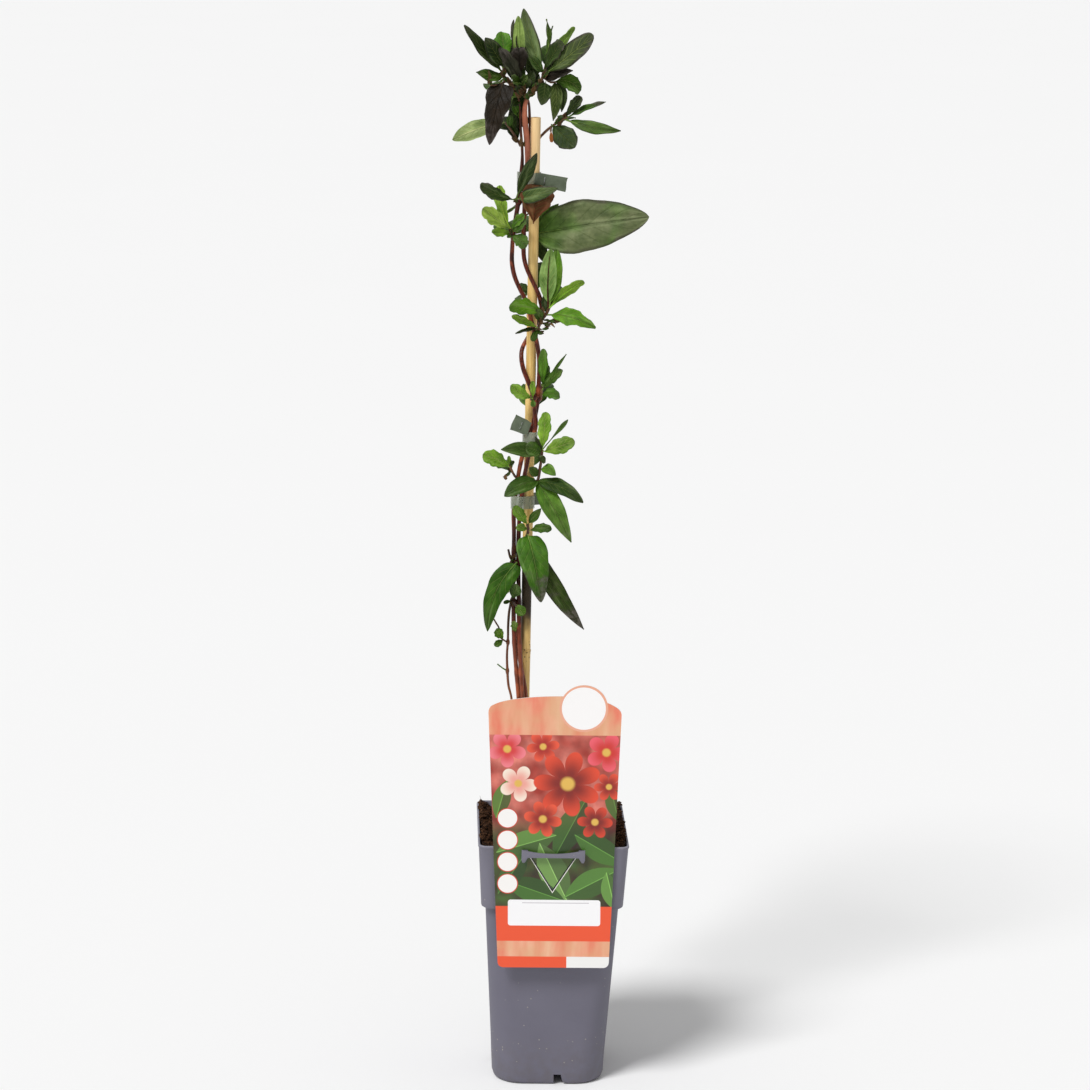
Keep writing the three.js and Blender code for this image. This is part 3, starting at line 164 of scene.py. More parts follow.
class Leaf:
    """A leaf by its ends, its widest, the way its upper face looks, its outline and its kind. It is arched
    and swept by millimetres, folded along the midrib and waved. Of its own it may have: "blunt", which
    rounds the tip; "late", which sets the widest place nearer to it; "lobes", which cuts the margin;
    "stalk", the stalk's share of the length; "tone", "under" and "rib", the colours of both faces and the
    midrib; and "marks", as above."""

    def __init__(self, start, end, width, faces, outline, kind, arch=1, fold=0.3, wave=0, sweep=0, **own):
        self.start = np.array(start, float)
        run = np.array(end, float) - self.start
        self.length = float(np.linalg.norm(run))
        self.along = run / self.length
        up = np.array(faces, float)
        up -= self.along * up.dot(self.along)
        self.up = up / np.linalg.norm(up)
        self.side = np.cross(self.along, self.up)
        self.width, self.outline, self.kind = width, outline, kind
        self.arch, self.fold, self.wave, self.sweep = arch, fold, wave, sweep
        self.own = own
        self.stalk = own.get("stalk", min(5, 0.1 * self.length) / self.length)
        self.tones = own.get("tone", TONES[kind][0]), own.get("under", TONES[kind][1])


class Spray:
    """What grows from one place: leaves, twigs as (radius, route), a swollen knot as (x, y, z, radius), and
    tufts of scales as (place, the way they point, how many, the longest)."""

    def __init__(self, slot, leaves=(), twigs=(), knot=None, tufts=()):
        self.slot, self.leaves, self.twigs, self.knot, self.tufts = slot, leaves, twigs, knot, tufts


# The stems as (radius, route).
STEMS = {
    "stem_left": (1.6, [(-23, -4, 148), (-23, -4, 183), (-24, -4, 218), (-25, -3, 256.5), (-26.5, -2, 289.5),
        (-28.5, -2, 310), (-30, -2, 325.5), (-31, -1, 344), (-31.5, 1, 362.5), (-32, 2, 377.5),
        (-32, 2, 392.5), (-32, 2, 411.5), (-32.5, 2, 428.5), (-32, 1.5, 439), (-30, 0.5, 454.5),
        (-28, -0.5, 466.5), (-25.5, -2, 477.5), (-23, -3, 485.5), (-20, -2.5, 494.5), (-17.5, -0.5, 505),
        (-16.5, 1, 513.5), (-16, 2, 525.5), (-16, 2, 538), (-17, 0.5, 549), (-19, -1.5, 558),
        (-21.5, -2.5, 567), (-24, -2, 576.5), (-27, 0.5, 585.5), (-30.5, 2.5, 592), (-35, 4, 602),
        (-37, 5, 612), (-37, 5.5, 620.5), (-36.5, 5.5, 631.5), (-34.5, 5, 646), (-32.5, 4.5, 660.5),
        (-31.5, 4, 675), (-31, 3.5, 689), (-32.5, 3, 707), (-33.5, 2.5, 722.5), (-35.5, 2.5, 732.5),
        (-40, 2, 739.5), (-44, 2, 744.5)]),
    "stem_right": (1.6, [(-19.5, -6, 148), (-19.5, -6, 183.5), (-21, -6, 219), (-22, -5, 257),
        (-23.5, -6, 290), (-25, -6, 306.5), (-26, -5.5, 321.5), (-27, -3.5, 340), (-27.5, 0, 358.5),
        (-28, 3, 377), (-28.5, 3.5, 396), (-28.5, 3.5, 415), (-28, 2.5, 428.5), (-27, 0, 441),
        (-25.5, -2, 455), (-23.5, -3.5, 466.5), (-21.5, -4.5, 478), (-19.5, -6, 487), (-18, -6, 495),
        (-19, -4.5, 506), (-19.5, -3.5, 513), (-21.5, -3, 520), (-24.5, -1.5, 527.5), (-27.5, 0.5, 535),
        (-29, 3, 542.5), (-28.5, 6.5, 548.5), (-25.5, 9.5, 554.5), (-21, 10.5, 562), (-17.5, 9.5, 569.5),
        (-15, 6.5, 578), (-16, 2.5, 585), (-18.5, -1.5, 592), (-23, -2, 601), (-26.5, -0.5, 608.5),
        (-28.5, 2.5, 616), (-29, 3.5, 628), (-29, 3, 642.5), (-28.5, 2.5, 660.5), (-27.5, 2, 678.5),
        (-27.5, 1.8, 692), (-28.4, 1.2, 703), (-29.6, 0.8, 713), (-30, 0.5, 721), (-29, 0.5, 728),
        (-26, 0, 733), (-21.5, -1, 738), (-18.5, -1, 743.5)]),
    "stem_back": (1.5, [(-15.5, -1, 148), (-16, -1.5, 182), (-17.5, -2, 217.5), (-19, -2.5, 256.5),
        (-21, -3, 289.5), (-23, -3, 303), (-25, -2, 312), (-27, 1, 321.5), (-28, 4.5, 331), (-27, 8, 342),
        (-23.5, 10.5, 354), (-22, 11, 366), (-22, 11, 383), (-21.5, 11, 409.5), (-21.5, 11, 439.5),
        (-21.5, 11, 473), (-21.5, 11, 510.5), (-21.5, 12.5, 530), (-21.5, 14.5, 547), (-21.5, 15, 562),
        (-21.5, 14.5, 577), (-21.5, 12.5, 593), (-21.5, 11, 607), (-21.5, 11, 631), (-22, 10.5, 652.5),
        (-24, 10, 670.5), (-25, 9.4, 685.5), (-25.6, 9, 701), (-26.2, 8.5, 715.5), (-27.2, 7, 726.5),
        (-30, 6, 734), (-33, 5, 739.5)]),
    "stem_thin": (0.9, [(-31, 3, 148), (-31.5, 3, 215), (-32, 3, 254), (-31.5, 3, 286), (-34, 3, 297),
        (-35, 3, 308.5), (-35.5, 3, 320), (-35, 3, 331.5), (-35, 3, 343.5), (-34.5, 2.5, 353),
        (-33.5, -2, 361)]),
}

# How much thicker or thinner a stem is above the upper tie, and where the stems taper.
CROWN_GIRTH = {"stem_left": 0.62, "stem_right": 1.25, "stem_back": 0.7}
TAPER_FROM, TAPER_OVER = 718, 16

SPRAYS = {}
SPRAYS["crown_left_shoot"] = Spray("dark_leaf", twigs=[
    (1.1, [(-44, 2, 742), (-45.5, 2, 746.5), (-45, 2, 752), (-44, 3, 757.5)]),
], leaves=[
    Leaf((-45.5, 2, 747), (-74, -10, 781), 10, (1, -2, 1), LANCE, DARK, arch=2, sweep=-2, blunt=0.4),
    Leaf((-45, 2, 750), (-59, -15, 773), 12, (0, -3, 1), LANCE, DARK, arch=2, blunt=0.4, late=1.2),
    Leaf((-44.5, 2.5, 755), (-47, 13, 775), 13, (0, -2, 1), BLUNT, YOUNG, fold=0.2, wave=1, blunt=0.2,
         tone=(96, 156, 18), marks=(0.12, 0.1, 0.25, 0.08)),
    Leaf((-44.5, 2, 744), (-65, -7, 748), 10.5, (-1, -2, 1.5), LANCE, GREEN, fold=0.2, wave=0.5, sweep=-1.5),
    Leaf((-45.5, 2, 749), (-53, 36, 766), 14, (0, -1, 2), LANCE, DARK, arch=3, fold=0.2, blunt=0.5),
    Leaf((-45, 2, 745), (-59, 36, 736), 13, (-1, -1, 3), LANCE, GREEN, arch=-4, fold=0.2),
    Leaf((-44.5, 2.5, 755.5), (-44, 30, 769), 11, (0, -1, 2), LANCE, DARK, arch=2, fold=0.2, blunt=0.5),
], tufts=[
    ((-45, 0, 744), (-0.4, 0, 1), 6, 6),
    ((-42, 1, 740), (-0.6, 0, 1), 6, 6),
    ((-39, 1, 737), (-0.6, 0, 1), 5, 5),
    ((-55, -4.5, 739), (-0.3, 0, 1), 4, 10),
])
SPRAYS["crown_hanging_leaf"] = Spray("purple_leaf", twigs=[
    (0.8, [(-43, 1, 741), (-44.5, -1, 741.5), (-46, -2, 740.5)]),
    (0.7, [(-44, 0, 741), (-50, -3, 739), (-55, -4.5, 739)]),
], leaves=[
    Leaf((-45.5, -2.5, 741.5), (-55, -15, 698), 19, (-1, -4, 1), ROUND, PURPLE, arch=3, fold=0.12, wave=0.4,
         blunt=0, late=0.66, lobes=0.05, stalk=0.04),
])
SPRAYS["crown_middle_shoot"] = Spray("green_leaf", twigs=[
    (1.1, [(-32, 4, 735), (-33.5, 4, 742), (-34, 3, 749.5), (-34.5, 3, 755)]),
], leaves=[
    Leaf((-34, 3, 752), (-36, -9, 788), 8.5, (0, 2, 1), LANCE, YOUNG, arch=-1, fold=0.2, blunt=0.6,
         under=(180, 206, 118)),
    Leaf((-34.5, 3, 753.5), (-39, -3, 785), 9, (-2, -1, 0), LANCE, DARK, blunt=0.6, tone=(58, 54, 40),
         marks=(1, 0.4, 0, 0.2)),
    Leaf((-33.5, 3.5, 745.5), (-35, -3, 766), 11, (0, -3, 1), BLUNT, PURPLE, fold=0.2, blunt=0.9, late=1.3,
         tone=(50, 40, 32), marks=(0.9, 1.2, 0, 0)),
    Leaf((-32, 3, 740), (-49, -13, 766), 9.5, (0.4, -2, 0.4), BLUNT, PURPLE, arch=1.5, blunt=0.3, late=0.9,
         tone=(66, 60, 54), marks=(0.6, 0.8, 0, 0.1)),
    Leaf((-33, 4, 739.5), (-38, -10, 741), 6, (0, -1, 1), BLUNT, YOUNG, fold=0.2, tone=(58, 94, 20)),
    Leaf((-32.5, 4, 738.5), (-29, -9, 746), 7, (0, -2, 1), BLUNT, YOUNG, wave=0.5, tone=(52, 80, 18)),
    Leaf((-32.5, 4, 737), (-40, -9, 746), 6, (0, -2, 1), BLUNT, GREEN, wave=0.5),
    Leaf((-34, 3, 750.5), (-30, 34, 775), 14, (0, -1, 2), LANCE, DARK, arch=3, fold=0.2, blunt=0.5),
    Leaf((-33, 4, 739), (-40, 32, 718), 14, (0, 1, 3), LANCE, GREEN, arch=-3, fold=0.2),
    Leaf((-32.5, 4, 728), (-39, 1, 724), 6, (0, -1, 0.3), LANCE, DARK, wave=0.3, sweep=1),
    Leaf((-32.5, 3, 722.5), (-39.5, 6, 715), 6.5, (0, -1, 0.5), LANCE, DARK, arch=1.5, wave=0.3, sweep=1),
    Leaf((-34, 4, 715.5), (-38.5, 1, 725.5), 6, (0.3, -1, 0.2), BLUNT, GREEN, wave=0.3),
    Leaf((-31.5, 1, 734), (-27.5, 4, 743.5), 6.5, (0.2, -1, 0.5), BLUNT, DARK, wave=0.4),
    Leaf((-33.5, 3, 734), (-31, 6, 745), 7, (0, -1, 0.5), LANCE, DARK, wave=0.3),
    Leaf((-34, 1, 732.5), (-42, 0, 733.5), 5.5, (0, -1, 0.6), BLUNT, GREEN, wave=0.4),
    Leaf((-31.5, 0, 731.5), (-36.5, -3, 740), 5, (-0.2, -1, 0.3), LANCE, DARK, wave=0.3),
    Leaf((-29, 1, 730.5), (-23, 0, 734.5), 5, (0, -1, 0.5), BLUNT, GREEN, wave=0.3),
    Leaf((-32, 7, 708), (-28, 9, 716.5), 6, (0.3, -1, 0.3), LANCE, DARK, wave=0.3),
    Leaf((-33.5, 3, 702.5), (-39.5, 4, 709.5), 5, (0, -1, 0.4), BLUNT, DARK, wave=0.3),
    Leaf((-28, 4, 736.5), (-24.5, 6, 749), 8, (0, -1, 0.3), LANCE, DARK, wave=0.3),
    Leaf((-36.5, 5, 742), (-31, 7, 752), 8, (0, -1, 0.3), LANCE, DARK, wave=0.3),
    Leaf((-42, 4, 742), (-36.5, 6, 735), 7, (0, -1, 0.3), BLUNT, DARK, wave=0.3),
    Leaf((-34, 7, 728), (-37.5, 9, 703), 9, (0, -1, 0.2), LANCE, DARK, wave=0.3),
    Leaf((-34, 8, 711), (-32, 9, 736), 8.5, (0, -1, 0.2), LANCE, DARK, wave=0.3),
    Leaf((-24, 8, 741), (-25, 10, 763), 12, (0, -1, 0.3), LANCE, DARK, wave=0.3),
    Leaf((-40, 6, 741), (-39, 8, 764), 10, (0, -1, 0.3), LANCE, DARK, wave=0.3),
    Leaf((-27, 7, 733), (-20, 9, 746), 8, (0, -1, 0.3), LANCE, DARK, wave=0.3),
], tufts=[
    ((-33, 1, 731), (-0.2, -0.2, 1), 8, 8),
    ((-29, 0, 730), (0.3, -0.2, 1), 8, 8),
    ((-36, 0.5, 735), (-0.3, -0.2, 1), 5, 6),
    ((-31, 0, 735), (0, -0.3, 1), 5, 6),
])
SPRAYS["crown_right_shoot"] = Spray("dark_leaf", twigs=[
    (1.1, [(-18.5, -1, 743), (-17, -1, 747), (-16, 0, 751.5), (-15, 2, 754.5)]),
    (0.8, [(-17.5, -1, 745), (-12, -2, 741.5), (-7.5, -2, 742)]),
], leaves=[
    Leaf((-17, -1, 748), (-32, 8, 792), 11.5, (0, -3, 1), LANCE, DARK, fold=0.2, wave=0.3, sweep=-2,
         blunt=0.45, tone=(138, 162, 96), marks=(1, 0.4, 0.3, 0.45)),
    Leaf((-17, -1, 747), (-29, -9, 762), 7, (0, -2, 1), LANCE, GREEN, tone=(72, 102, 34)),
    Leaf((-15, 2, 754.5), (-16, 7, 785), 4, (1, -1, 0), LANCE, GREEN, arch=1.5, wave=1, sweep=1.5),
    Leaf((-15, 2, 754.5), (-11, 12, 780), 4, (-1, -1, 0), LANCE, GREEN),
    Leaf((-15, 2, 754.5), (5, 16, 779), 8, (-1, 2, 1), BLUNT, YOUNG, sweep=-1, blunt=0.5, late=0.8,
         under=(150, 186, 84)),
    Leaf((-17.5, -1, 748.5), (-5, -7, 771), 10, (-1, -3, 1), BLUNT, DARK, blunt=0.85, late=1.4),
    Leaf((-17, -1, 746.5), (17, -13, 776), 17, (-1, -3, 2), LANCE, DARK, arch=2, fold=0.25, sweep=2,
         blunt=0.75, late=1.2, tone=(56, 78, 24), marks=(1, 0.6, 0.25, 0.3)),
    Leaf((-16, -1.5, 744), (3, -13, 751), 9, (0, -2, 1.4), LANCE, PURPLE, late=0.8, stalk=0.02,
         tone=(52, 40, 34)),
    Leaf((-10.5, -2, 741.5), (9, -6, 736), 12, (0, -2, 1), BLUNT, GREEN, arch=3, fold=0.2, wave=0.5, sweep=-3,
         blunt=0.7, lobes=0.08),
    Leaf((-15.5, -1.5, 742), (-18.5, -9, 726), 12, (1, -3, 1), OVATE, DARK, fold=0.2, blunt=0, late=0.8,
         lobes=0.05),
    Leaf((-9, -2, 742), (-10, -8, 715), 9, (0, -3, 0), LANCE, GREEN, wave=0.4, sweep=-1.5, late=0.8,
         stalk=0.03, tone=(70, 86, 30)),
    Leaf((-7.5, -2, 742), (-4, -4, 721), 8, (0, -3, 0), LANCE, DARK, wave=0.4, sweep=-2, late=0.8,
         stalk=0.03),
    Leaf((-16, 0, 750.5), (-10, 34, 765), 14, (0, -1, 2), LANCE, GREEN, arch=3, fold=0.2, blunt=0.6),
    Leaf((-17, -1, 747.5), (4, 30, 756), 14, (0, -1, 2), LANCE, DARK, arch=3, fold=0.2),
    Leaf((-18, -1, 743.5), (-5, 34, 731), 14, (0, -1, 3), LANCE, DARK, arch=-3, fold=0.2),
], tufts=[
    ((-26, -0.5, 733), (0.5, -0.1, 1), 6, 7),
    ((-23, -0.5, 737.5), (0.5, -0.1, 1), 6, 7),
    ((-20.5, -0.5, 741), (0.5, 0, 1), 6, 6),
    ((-17.5, -1.5, 745), (0.5, 0, 1), 6, 7),
])
SPRAYS["upper_left_shoot"] = Spray("green_leaf", twigs=[
    (0.9, [(-32.5, 3, 695.5), (-35, 2, 700.5), (-39.5, 1.5, 707), (-43.5, 1, 712.5)]),
], leaves=[
    Leaf((-44, 1, 712.5), (-81, -4, 700), 14, (0, 3, 1), LANCE, YOUNG, arch=2, fold=0.15, sweep=-1, blunt=0.5,
         late=1.1, under=(236, 252, 176)),
    Leaf((-41, 1.5, 709), (-40, -4, 718), 5, (0, -2, 1), BLUNT, GREEN, fold=0.2),
    Leaf((-34, 2.5, 698.5), (-41, 18, 715), 9, (-1, -1, 2), LANCE, DARK, fold=0.2),
    Leaf((-38.5, 1.5, 705.5), (-47, 22, 713), 12, (-1, -1, 2), LANCE, DARK, arch=2, fold=0.2),
    Leaf((-36.5, 2, 702.5), (-39, 6, 725), 7.5, (-1, -2, 0), LANCE, DARK, fold=0.2),
], tufts=[
    ((-34.5, 2.5, 699), (-0.6, -0.2, 1), 8, 6),
    ((-31, 1, 696), (0.2, -0.4, 1), 6, 6),
    ((-40, 3, 711), (-0.4, 0, 1), 4, 5),
])
SPRAYS["upper_right_shoot"] = Spray("green_leaf", twigs=[
    (0.95, [(-25, 7, 695), (-21, 11, 697.5), (-17.5, 9, 702.5), (-11, 3, 709.5), (-5, 0, 714), (0, -1, 717)]),
    (0.7, [(-11, 2.5, 709), (-11.2, 1.2, 706.5)]),
], leaves=[
    Leaf((-1, -1, 716.5), (10, -6, 732), 8.5, (-1, -2, 1), BLUNT, DARK, blunt=0.75, late=1.3,
         tone=(36, 54, 18)),
    Leaf((-0.5, -1, 716.5), (27, -9, 729), 8, (-1, -2, 4), LANCE, GREEN, marks=(0.3, 0.9, 0.2, 0.3)),
    Leaf((-1.5, -1, 715.5), (38, -11, 709), 9.5, (0, -2, 1), LANCE, GREEN, arch=2, fold=0.15, sweep=2.5,
         tone=(86, 122, 32), marks=(0.6, 0.5, 0.2, 0.2)),
    Leaf((-11, 2, 711.5), (6, -9, 696.5), 16.5, (0, -3, 1), BLUNT, DARK, fold=0.1, wave=0.3, blunt=0.1,
         late=1.05, lobes=0.05, tone=(50, 74, 20), marks=(0.9, 0.25, 0.1, 0.1)),
    Leaf((-11.2, 1.5, 707), (-10.4, -1.5, 699), 3, (0, -3, 1), BLUNT, DARK, arch=0.5, fold=0.2, blunt=0.8,
         tone=(236, 132, 72), under=(236, 132, 72), marks=(0, 0.2, 0, 0)),
    Leaf((-6, 1, 713.5), (6, 30, 713), 12, (0, -1, 3), LANCE, GREEN, arch=2, fold=0.2),
], tufts=[
    ((-2.5, 3, 715), (0.6, -0.3, 0.6), 6, 5),
    ((-7, 1.5, 712), (0.8, -0.2, 0.8), 6, 7),
])
SPRAYS["tie_upper_leaves"] = Spray("dark_leaf", knot=(-33, 4.5, 656, 3.2), twigs=[
    (1, [(-32.5, 4.5, 657), (-34.5, 2, 657), (-35.5, -1, 658)]),
], leaves=[
    Leaf((-35, -1, 658), (-21, -8, 692), 9.5, (1, -3, 0), LANCE, DARK, sweep=-1.3, blunt=0.4, late=1.15),
    Leaf((-35.5, -0.5, 658), (-6, -14, 668), 11, (0, -3, 1), LANCE, DARK, arch=2, fold=0.25, sweep=1,
         blunt=0.5, late=0.8, tone=(90, 124, 54), marks=(1, 0.3, 0.25, 0.3)),
    Leaf((-35.5, -1, 657.5), (-61, -9, 669), 9, (0, -3, 1), BLUNT, DARK, wave=0.8, sweep=-2, blunt=0.7,
         late=1.2),
    Leaf((-34, 5, 655.5), (-43, 34, 643), 14, (-1, -1, 3), LANCE, GREEN, arch=-2, fold=0.2),
], tufts=[
    ((-35, 2, 656.5), (-0.2, -0.6, 1), 4, 4),
])
SPRAYS["russet_leaf"] = Spray("russet_leaf", twigs=[
    (0.6, [(-30.5, -1, 646), (-28, -3, 647), (-25, -4.5, 649)]),
], leaves=[
    Leaf((-22.5, -6, 641.5), (-18, -6, 669), 23.5, (0.1, 2, -0.6), ROUND, RUSSET, arch=-2, wave=0.6, sweep=1,
         blunt=0.9, late=2.9, lobes=0.05, stalk=0.02),
])
SPRAYS["left_cluster"] = Spray("young_leaf", twigs=[
    (0.95, [(-36, 5.5, 627), (-37.5, 3, 629.5), (-38, 1, 633.5), (-38.5, 0, 637)]),
], leaves=[
    Leaf((-38.5, 0, 636.5), (-47, -3, 668), 8.5, (0, 2, 1), BLUNT, YOUNG, fold=0.25, sweep=2.5,
         under=(212, 250, 98)),
    Leaf((-38.5, 0.5, 635.5), (-59, -9, 652), 11, (0, -3, 1), BLUNT, YOUNG, fold=0.15, wave=0.3,
         tone=(224, 252, 104), marks=(0.1, 0.1, 0.6, 0.1)),
    Leaf((-38, 1, 633.5), (-52, -9, 635), 7, (0, -2, 1), BLUNT, GREEN, arch=0.8, wave=0.5,
         tone=(160, 212, 62)),
    Leaf((-37.5, 2, 631), (-41, -4, 631), 3, (0, -2, 1), BLUNT, GREEN),
    Leaf((-38, 0, 636.5), (-29, -8, 648), 7, (-1, -2, 1), BLUNT, GREEN, tone=(120, 172, 38)),
    Leaf((-38, 1, 633.5), (-28, -9, 645), 7, (-1, -2, 0), BLUNT, GREEN, tone=(98, 144, 32)),
    Leaf((-38, 1.5, 632), (-27, -8, 625), 10, (0, -3, 1), BLUNT, GREEN, fold=0.2, wave=0.5, sweep=-1),
    Leaf((-37.5, 2.5, 630), (-48, 34, 637), 13, (-1, -1, 3), LANCE, GREEN, arch=2, fold=0.2),
], tufts=[
    ((-38, 2, 632.5), (-0.3, -0.5, 1), 5, 5),
    ((-33, 0, 646), (-0.8, -0.4, 0.6), 4, 4),
])
SPRAYS["large_leaf_pair"] = Spray("green_leaf", knot=(-21.5, 11, 632.5, 3), leaves=[
    Leaf((-21, 12.5, 631.5), (60, -6, 647.5), 38, (0, -3, 1), OVATE, GREEN, arch=4, fold=0.12, late=0.9,
         stalk=0.02, tone=(124, 162, 78), marks=(0.9, 0.2, 0, 1)),
    Leaf((-21.5, 11, 632), (-41, 52, 633), 26, (-1, -1, 3), OVATE, GREEN, arch=4, fold=0.12),
    Leaf((-21, 13, 633.5), (-4, 16, 653), 9, (0, -3, 1), LANCE, GREEN, fold=0.2, tone=(90, 130, 32)),
    Leaf((-19.5, 12.5, 631.5), (-13, 9, 611), 9, (0, -3, 0), LANCE, DARK),
])
SPRAYS["middle_right_shoot"] = Spray("green_leaf", twigs=[
    (1.1, [(-20, -2, 562), (-17.5, -4.5, 566), (-15.5, -4.5, 571), (-12, -4.5, 576), (-10, -4, 580.5)]),
    (0.5, [(-16, -4.5, 569), (-12, -5.5, 570), (-8, -5.5, 571)]),
], leaves=[
    Leaf((-10.5, -4, 580), (-10, -11, 624), 12.5, (0, 2, 1), LANCE, YOUNG, arch=1.5, fold=0.12, sweep=1,
         blunt=0.6, under=(180, 208, 120), rib=(92, 48, 40)),
    Leaf((-10, -4, 580.5), (-5, 2, 622), 13, (0, -3, 1), LANCE, GREEN, fold=0.15, wave=0.3, blunt=0.6,
         tone=(128, 182, 48)),
    Leaf((-10.5, -4, 579.5), (14, -15, 602), 9, (-1, 3, 1), BLUNT, YOUNG, fold=0.25, sweep=1.2,
         under=(156, 206, 66)),
    Leaf((-12, -4, 575.5), (23, -20, 569), 13, (0, -3, 2), LANCE, GREEN, arch=4, fold=0.2, wave=1.2,
         sweep=-1.5, lobes=0.1, tone=(124, 180, 36)),
    Leaf((-12.5, -4.5, 575.5), (-39, -14, 582), 12, (0, -2, 1), BLUNT, GREEN, arch=2, fold=0.25, wave=0.6,
         sweep=2.5, tone=(108, 160, 30)),
    Leaf((-17.5, -5, 566), (-37, -15, 576), 6, (0, -2, 1), BLUNT, YOUNG),
    Leaf((-17.5, -4.5, 565.5), (-34, -13, 563), 4, (0, -1, 2), LANCE, DARK),
    Leaf((-18, -4, 565), (-22, -9, 557), 5, (0, -3, 0), BLUNT, GREEN, arch=0.6),
    Leaf((-14.5, -4.5, 572), (-5, -9, 570), 3, (0, -1, 2), LANCE, DARK, arch=0.6),
    Leaf((-15.5, -5, 569.5), (-9, -9, 568), 2.5, (0, -1, 2), LANCE, DARK, arch=0.5),
    Leaf((-15.5, -4.5, 571), (-19, -9, 580), 7, (0, -3, 1), BLUNT, GREEN, wave=0.4),
    Leaf((-12, -4.5, 576), (-14, 1, 589), 5, (0, -3, 1), LANCE, DARK, arch=0.6),
    Leaf((-10.5, -4, 579), (-1, 24, 592), 14, (0, -1, 2), LANCE, GREEN, arch=3, fold=0.2),
], tufts=[
    ((-8.5, -5.5, 571), (1, -0.3, -0.1), 4, 8),
    ((-14, -4.5, 567), (1, -0.3, 0.1), 4, 7),
    ((-13.5, -4.5, 576), (0.1, -0.4, 1), 6, 6),
    ((-18, -3, 563.5), (0.8, -0.4, -0.2), 6, 6),
    ((-16, -5, 570), (-0.4, -0.6, 1), 5, 6),
])
SPRAYS["middle_back_shoot"] = Spray("green_leaf", knot=(-21.5, 13.5, 583.5, 3), twigs=[
    (1, [(-21.5, 11.5, 583.5), (-21, 15, 586), (-20, 19, 589)]),
], leaves=[
    Leaf((-20.5, 16, 587.5), (-17, 11, 607), 8, (1, -3, 1), LANCE, GREEN, fold=0.2),
    Leaf((-21, 15.5, 586), (-31, 18, 594), 6, (0, -3, 1), BLUNT, GREEN, fold=0.2, tone=(90, 120, 60)),
    Leaf((-20, 19, 589), (-15, 40, 607), 14, (0, -1, 2), LANCE, GREEN, arch=3, fold=0.2),
    Leaf((-20.5, 16.5, 587), (-30, 44, 578), 15, (-1, -1, 3), LANCE, GREEN, arch=3, fold=0.2),
])
SPRAYS["lower_right_leaves"] = Spray("green_leaf", knot=(-16.5, 1, 513.5, 3.2), twigs=[
    (1, [(-16.5, 1, 513), (-14.5, -1, 515), (-14, -1.5, 519.5), (-13.5, -1.5, 523)]),
], leaves=[
    Leaf((-13.5, -1, 521.5), (-13.5, -5, 551), 7, (0, -3, 1), BLUNT, GREEN, fold=0.25, tone=(98, 152, 24)),
    Leaf((-13.5, -1.5, 522), (-11, -1, 539), 7, (1, -3, 1), BLUNT, GREEN, arch=0.6, wave=0.3),
    Leaf((-13.5, -2, 522.5), (3, -9, 548), 2.4, (0, -2, 1), LANCE, DARK, arch=0.6, late=1.7,
         tone=(100, 140, 50)),
    Leaf((-14, -2, 520), (0, -10, 537), 7, (0, -3, 1), BLUNT, GREEN, fold=0.2, wave=1, sweep=-0.5,
         tone=(88, 134, 26)),
    Leaf((-14.5, -1, 516), (-1, -11, 517), 8, (0, -3, 1), BLUNT, GREEN, arch=1.5, wave=0.6, sweep=-2,
         tone=(84, 130, 28)),
    Leaf((-14.5, 1, 515), (-8, 30, 518), 13, (0, -1, 3), LANCE, GREEN, arch=3, fold=0.2),
])
SPRAYS["lower_left_leaves"] = Spray("young_leaf", knot=(-20, -3.5, 515, 3.2), twigs=[
    (0.8, [(-20, -3.5, 515), (-20.5, -6.5, 514.5)]),
], leaves=[
    Leaf((-20.5, -6.5, 514.5), (-37, -13, 525), 9, (0, -3, 1), BLUNT, YOUNG, fold=0.25, wave=0.3, sweep=-1),
    Leaf((-20.5, -6.5, 514.5), (-21, -9, 528), 4, (0, -3, 1), BLUNT, YOUNG, arch=0.5),
    Leaf((-20.5, -6.5, 514.5), (-20, -9, 509), 4, (0, -3, 0), BLUNT, GREEN, arch=0.4),
])
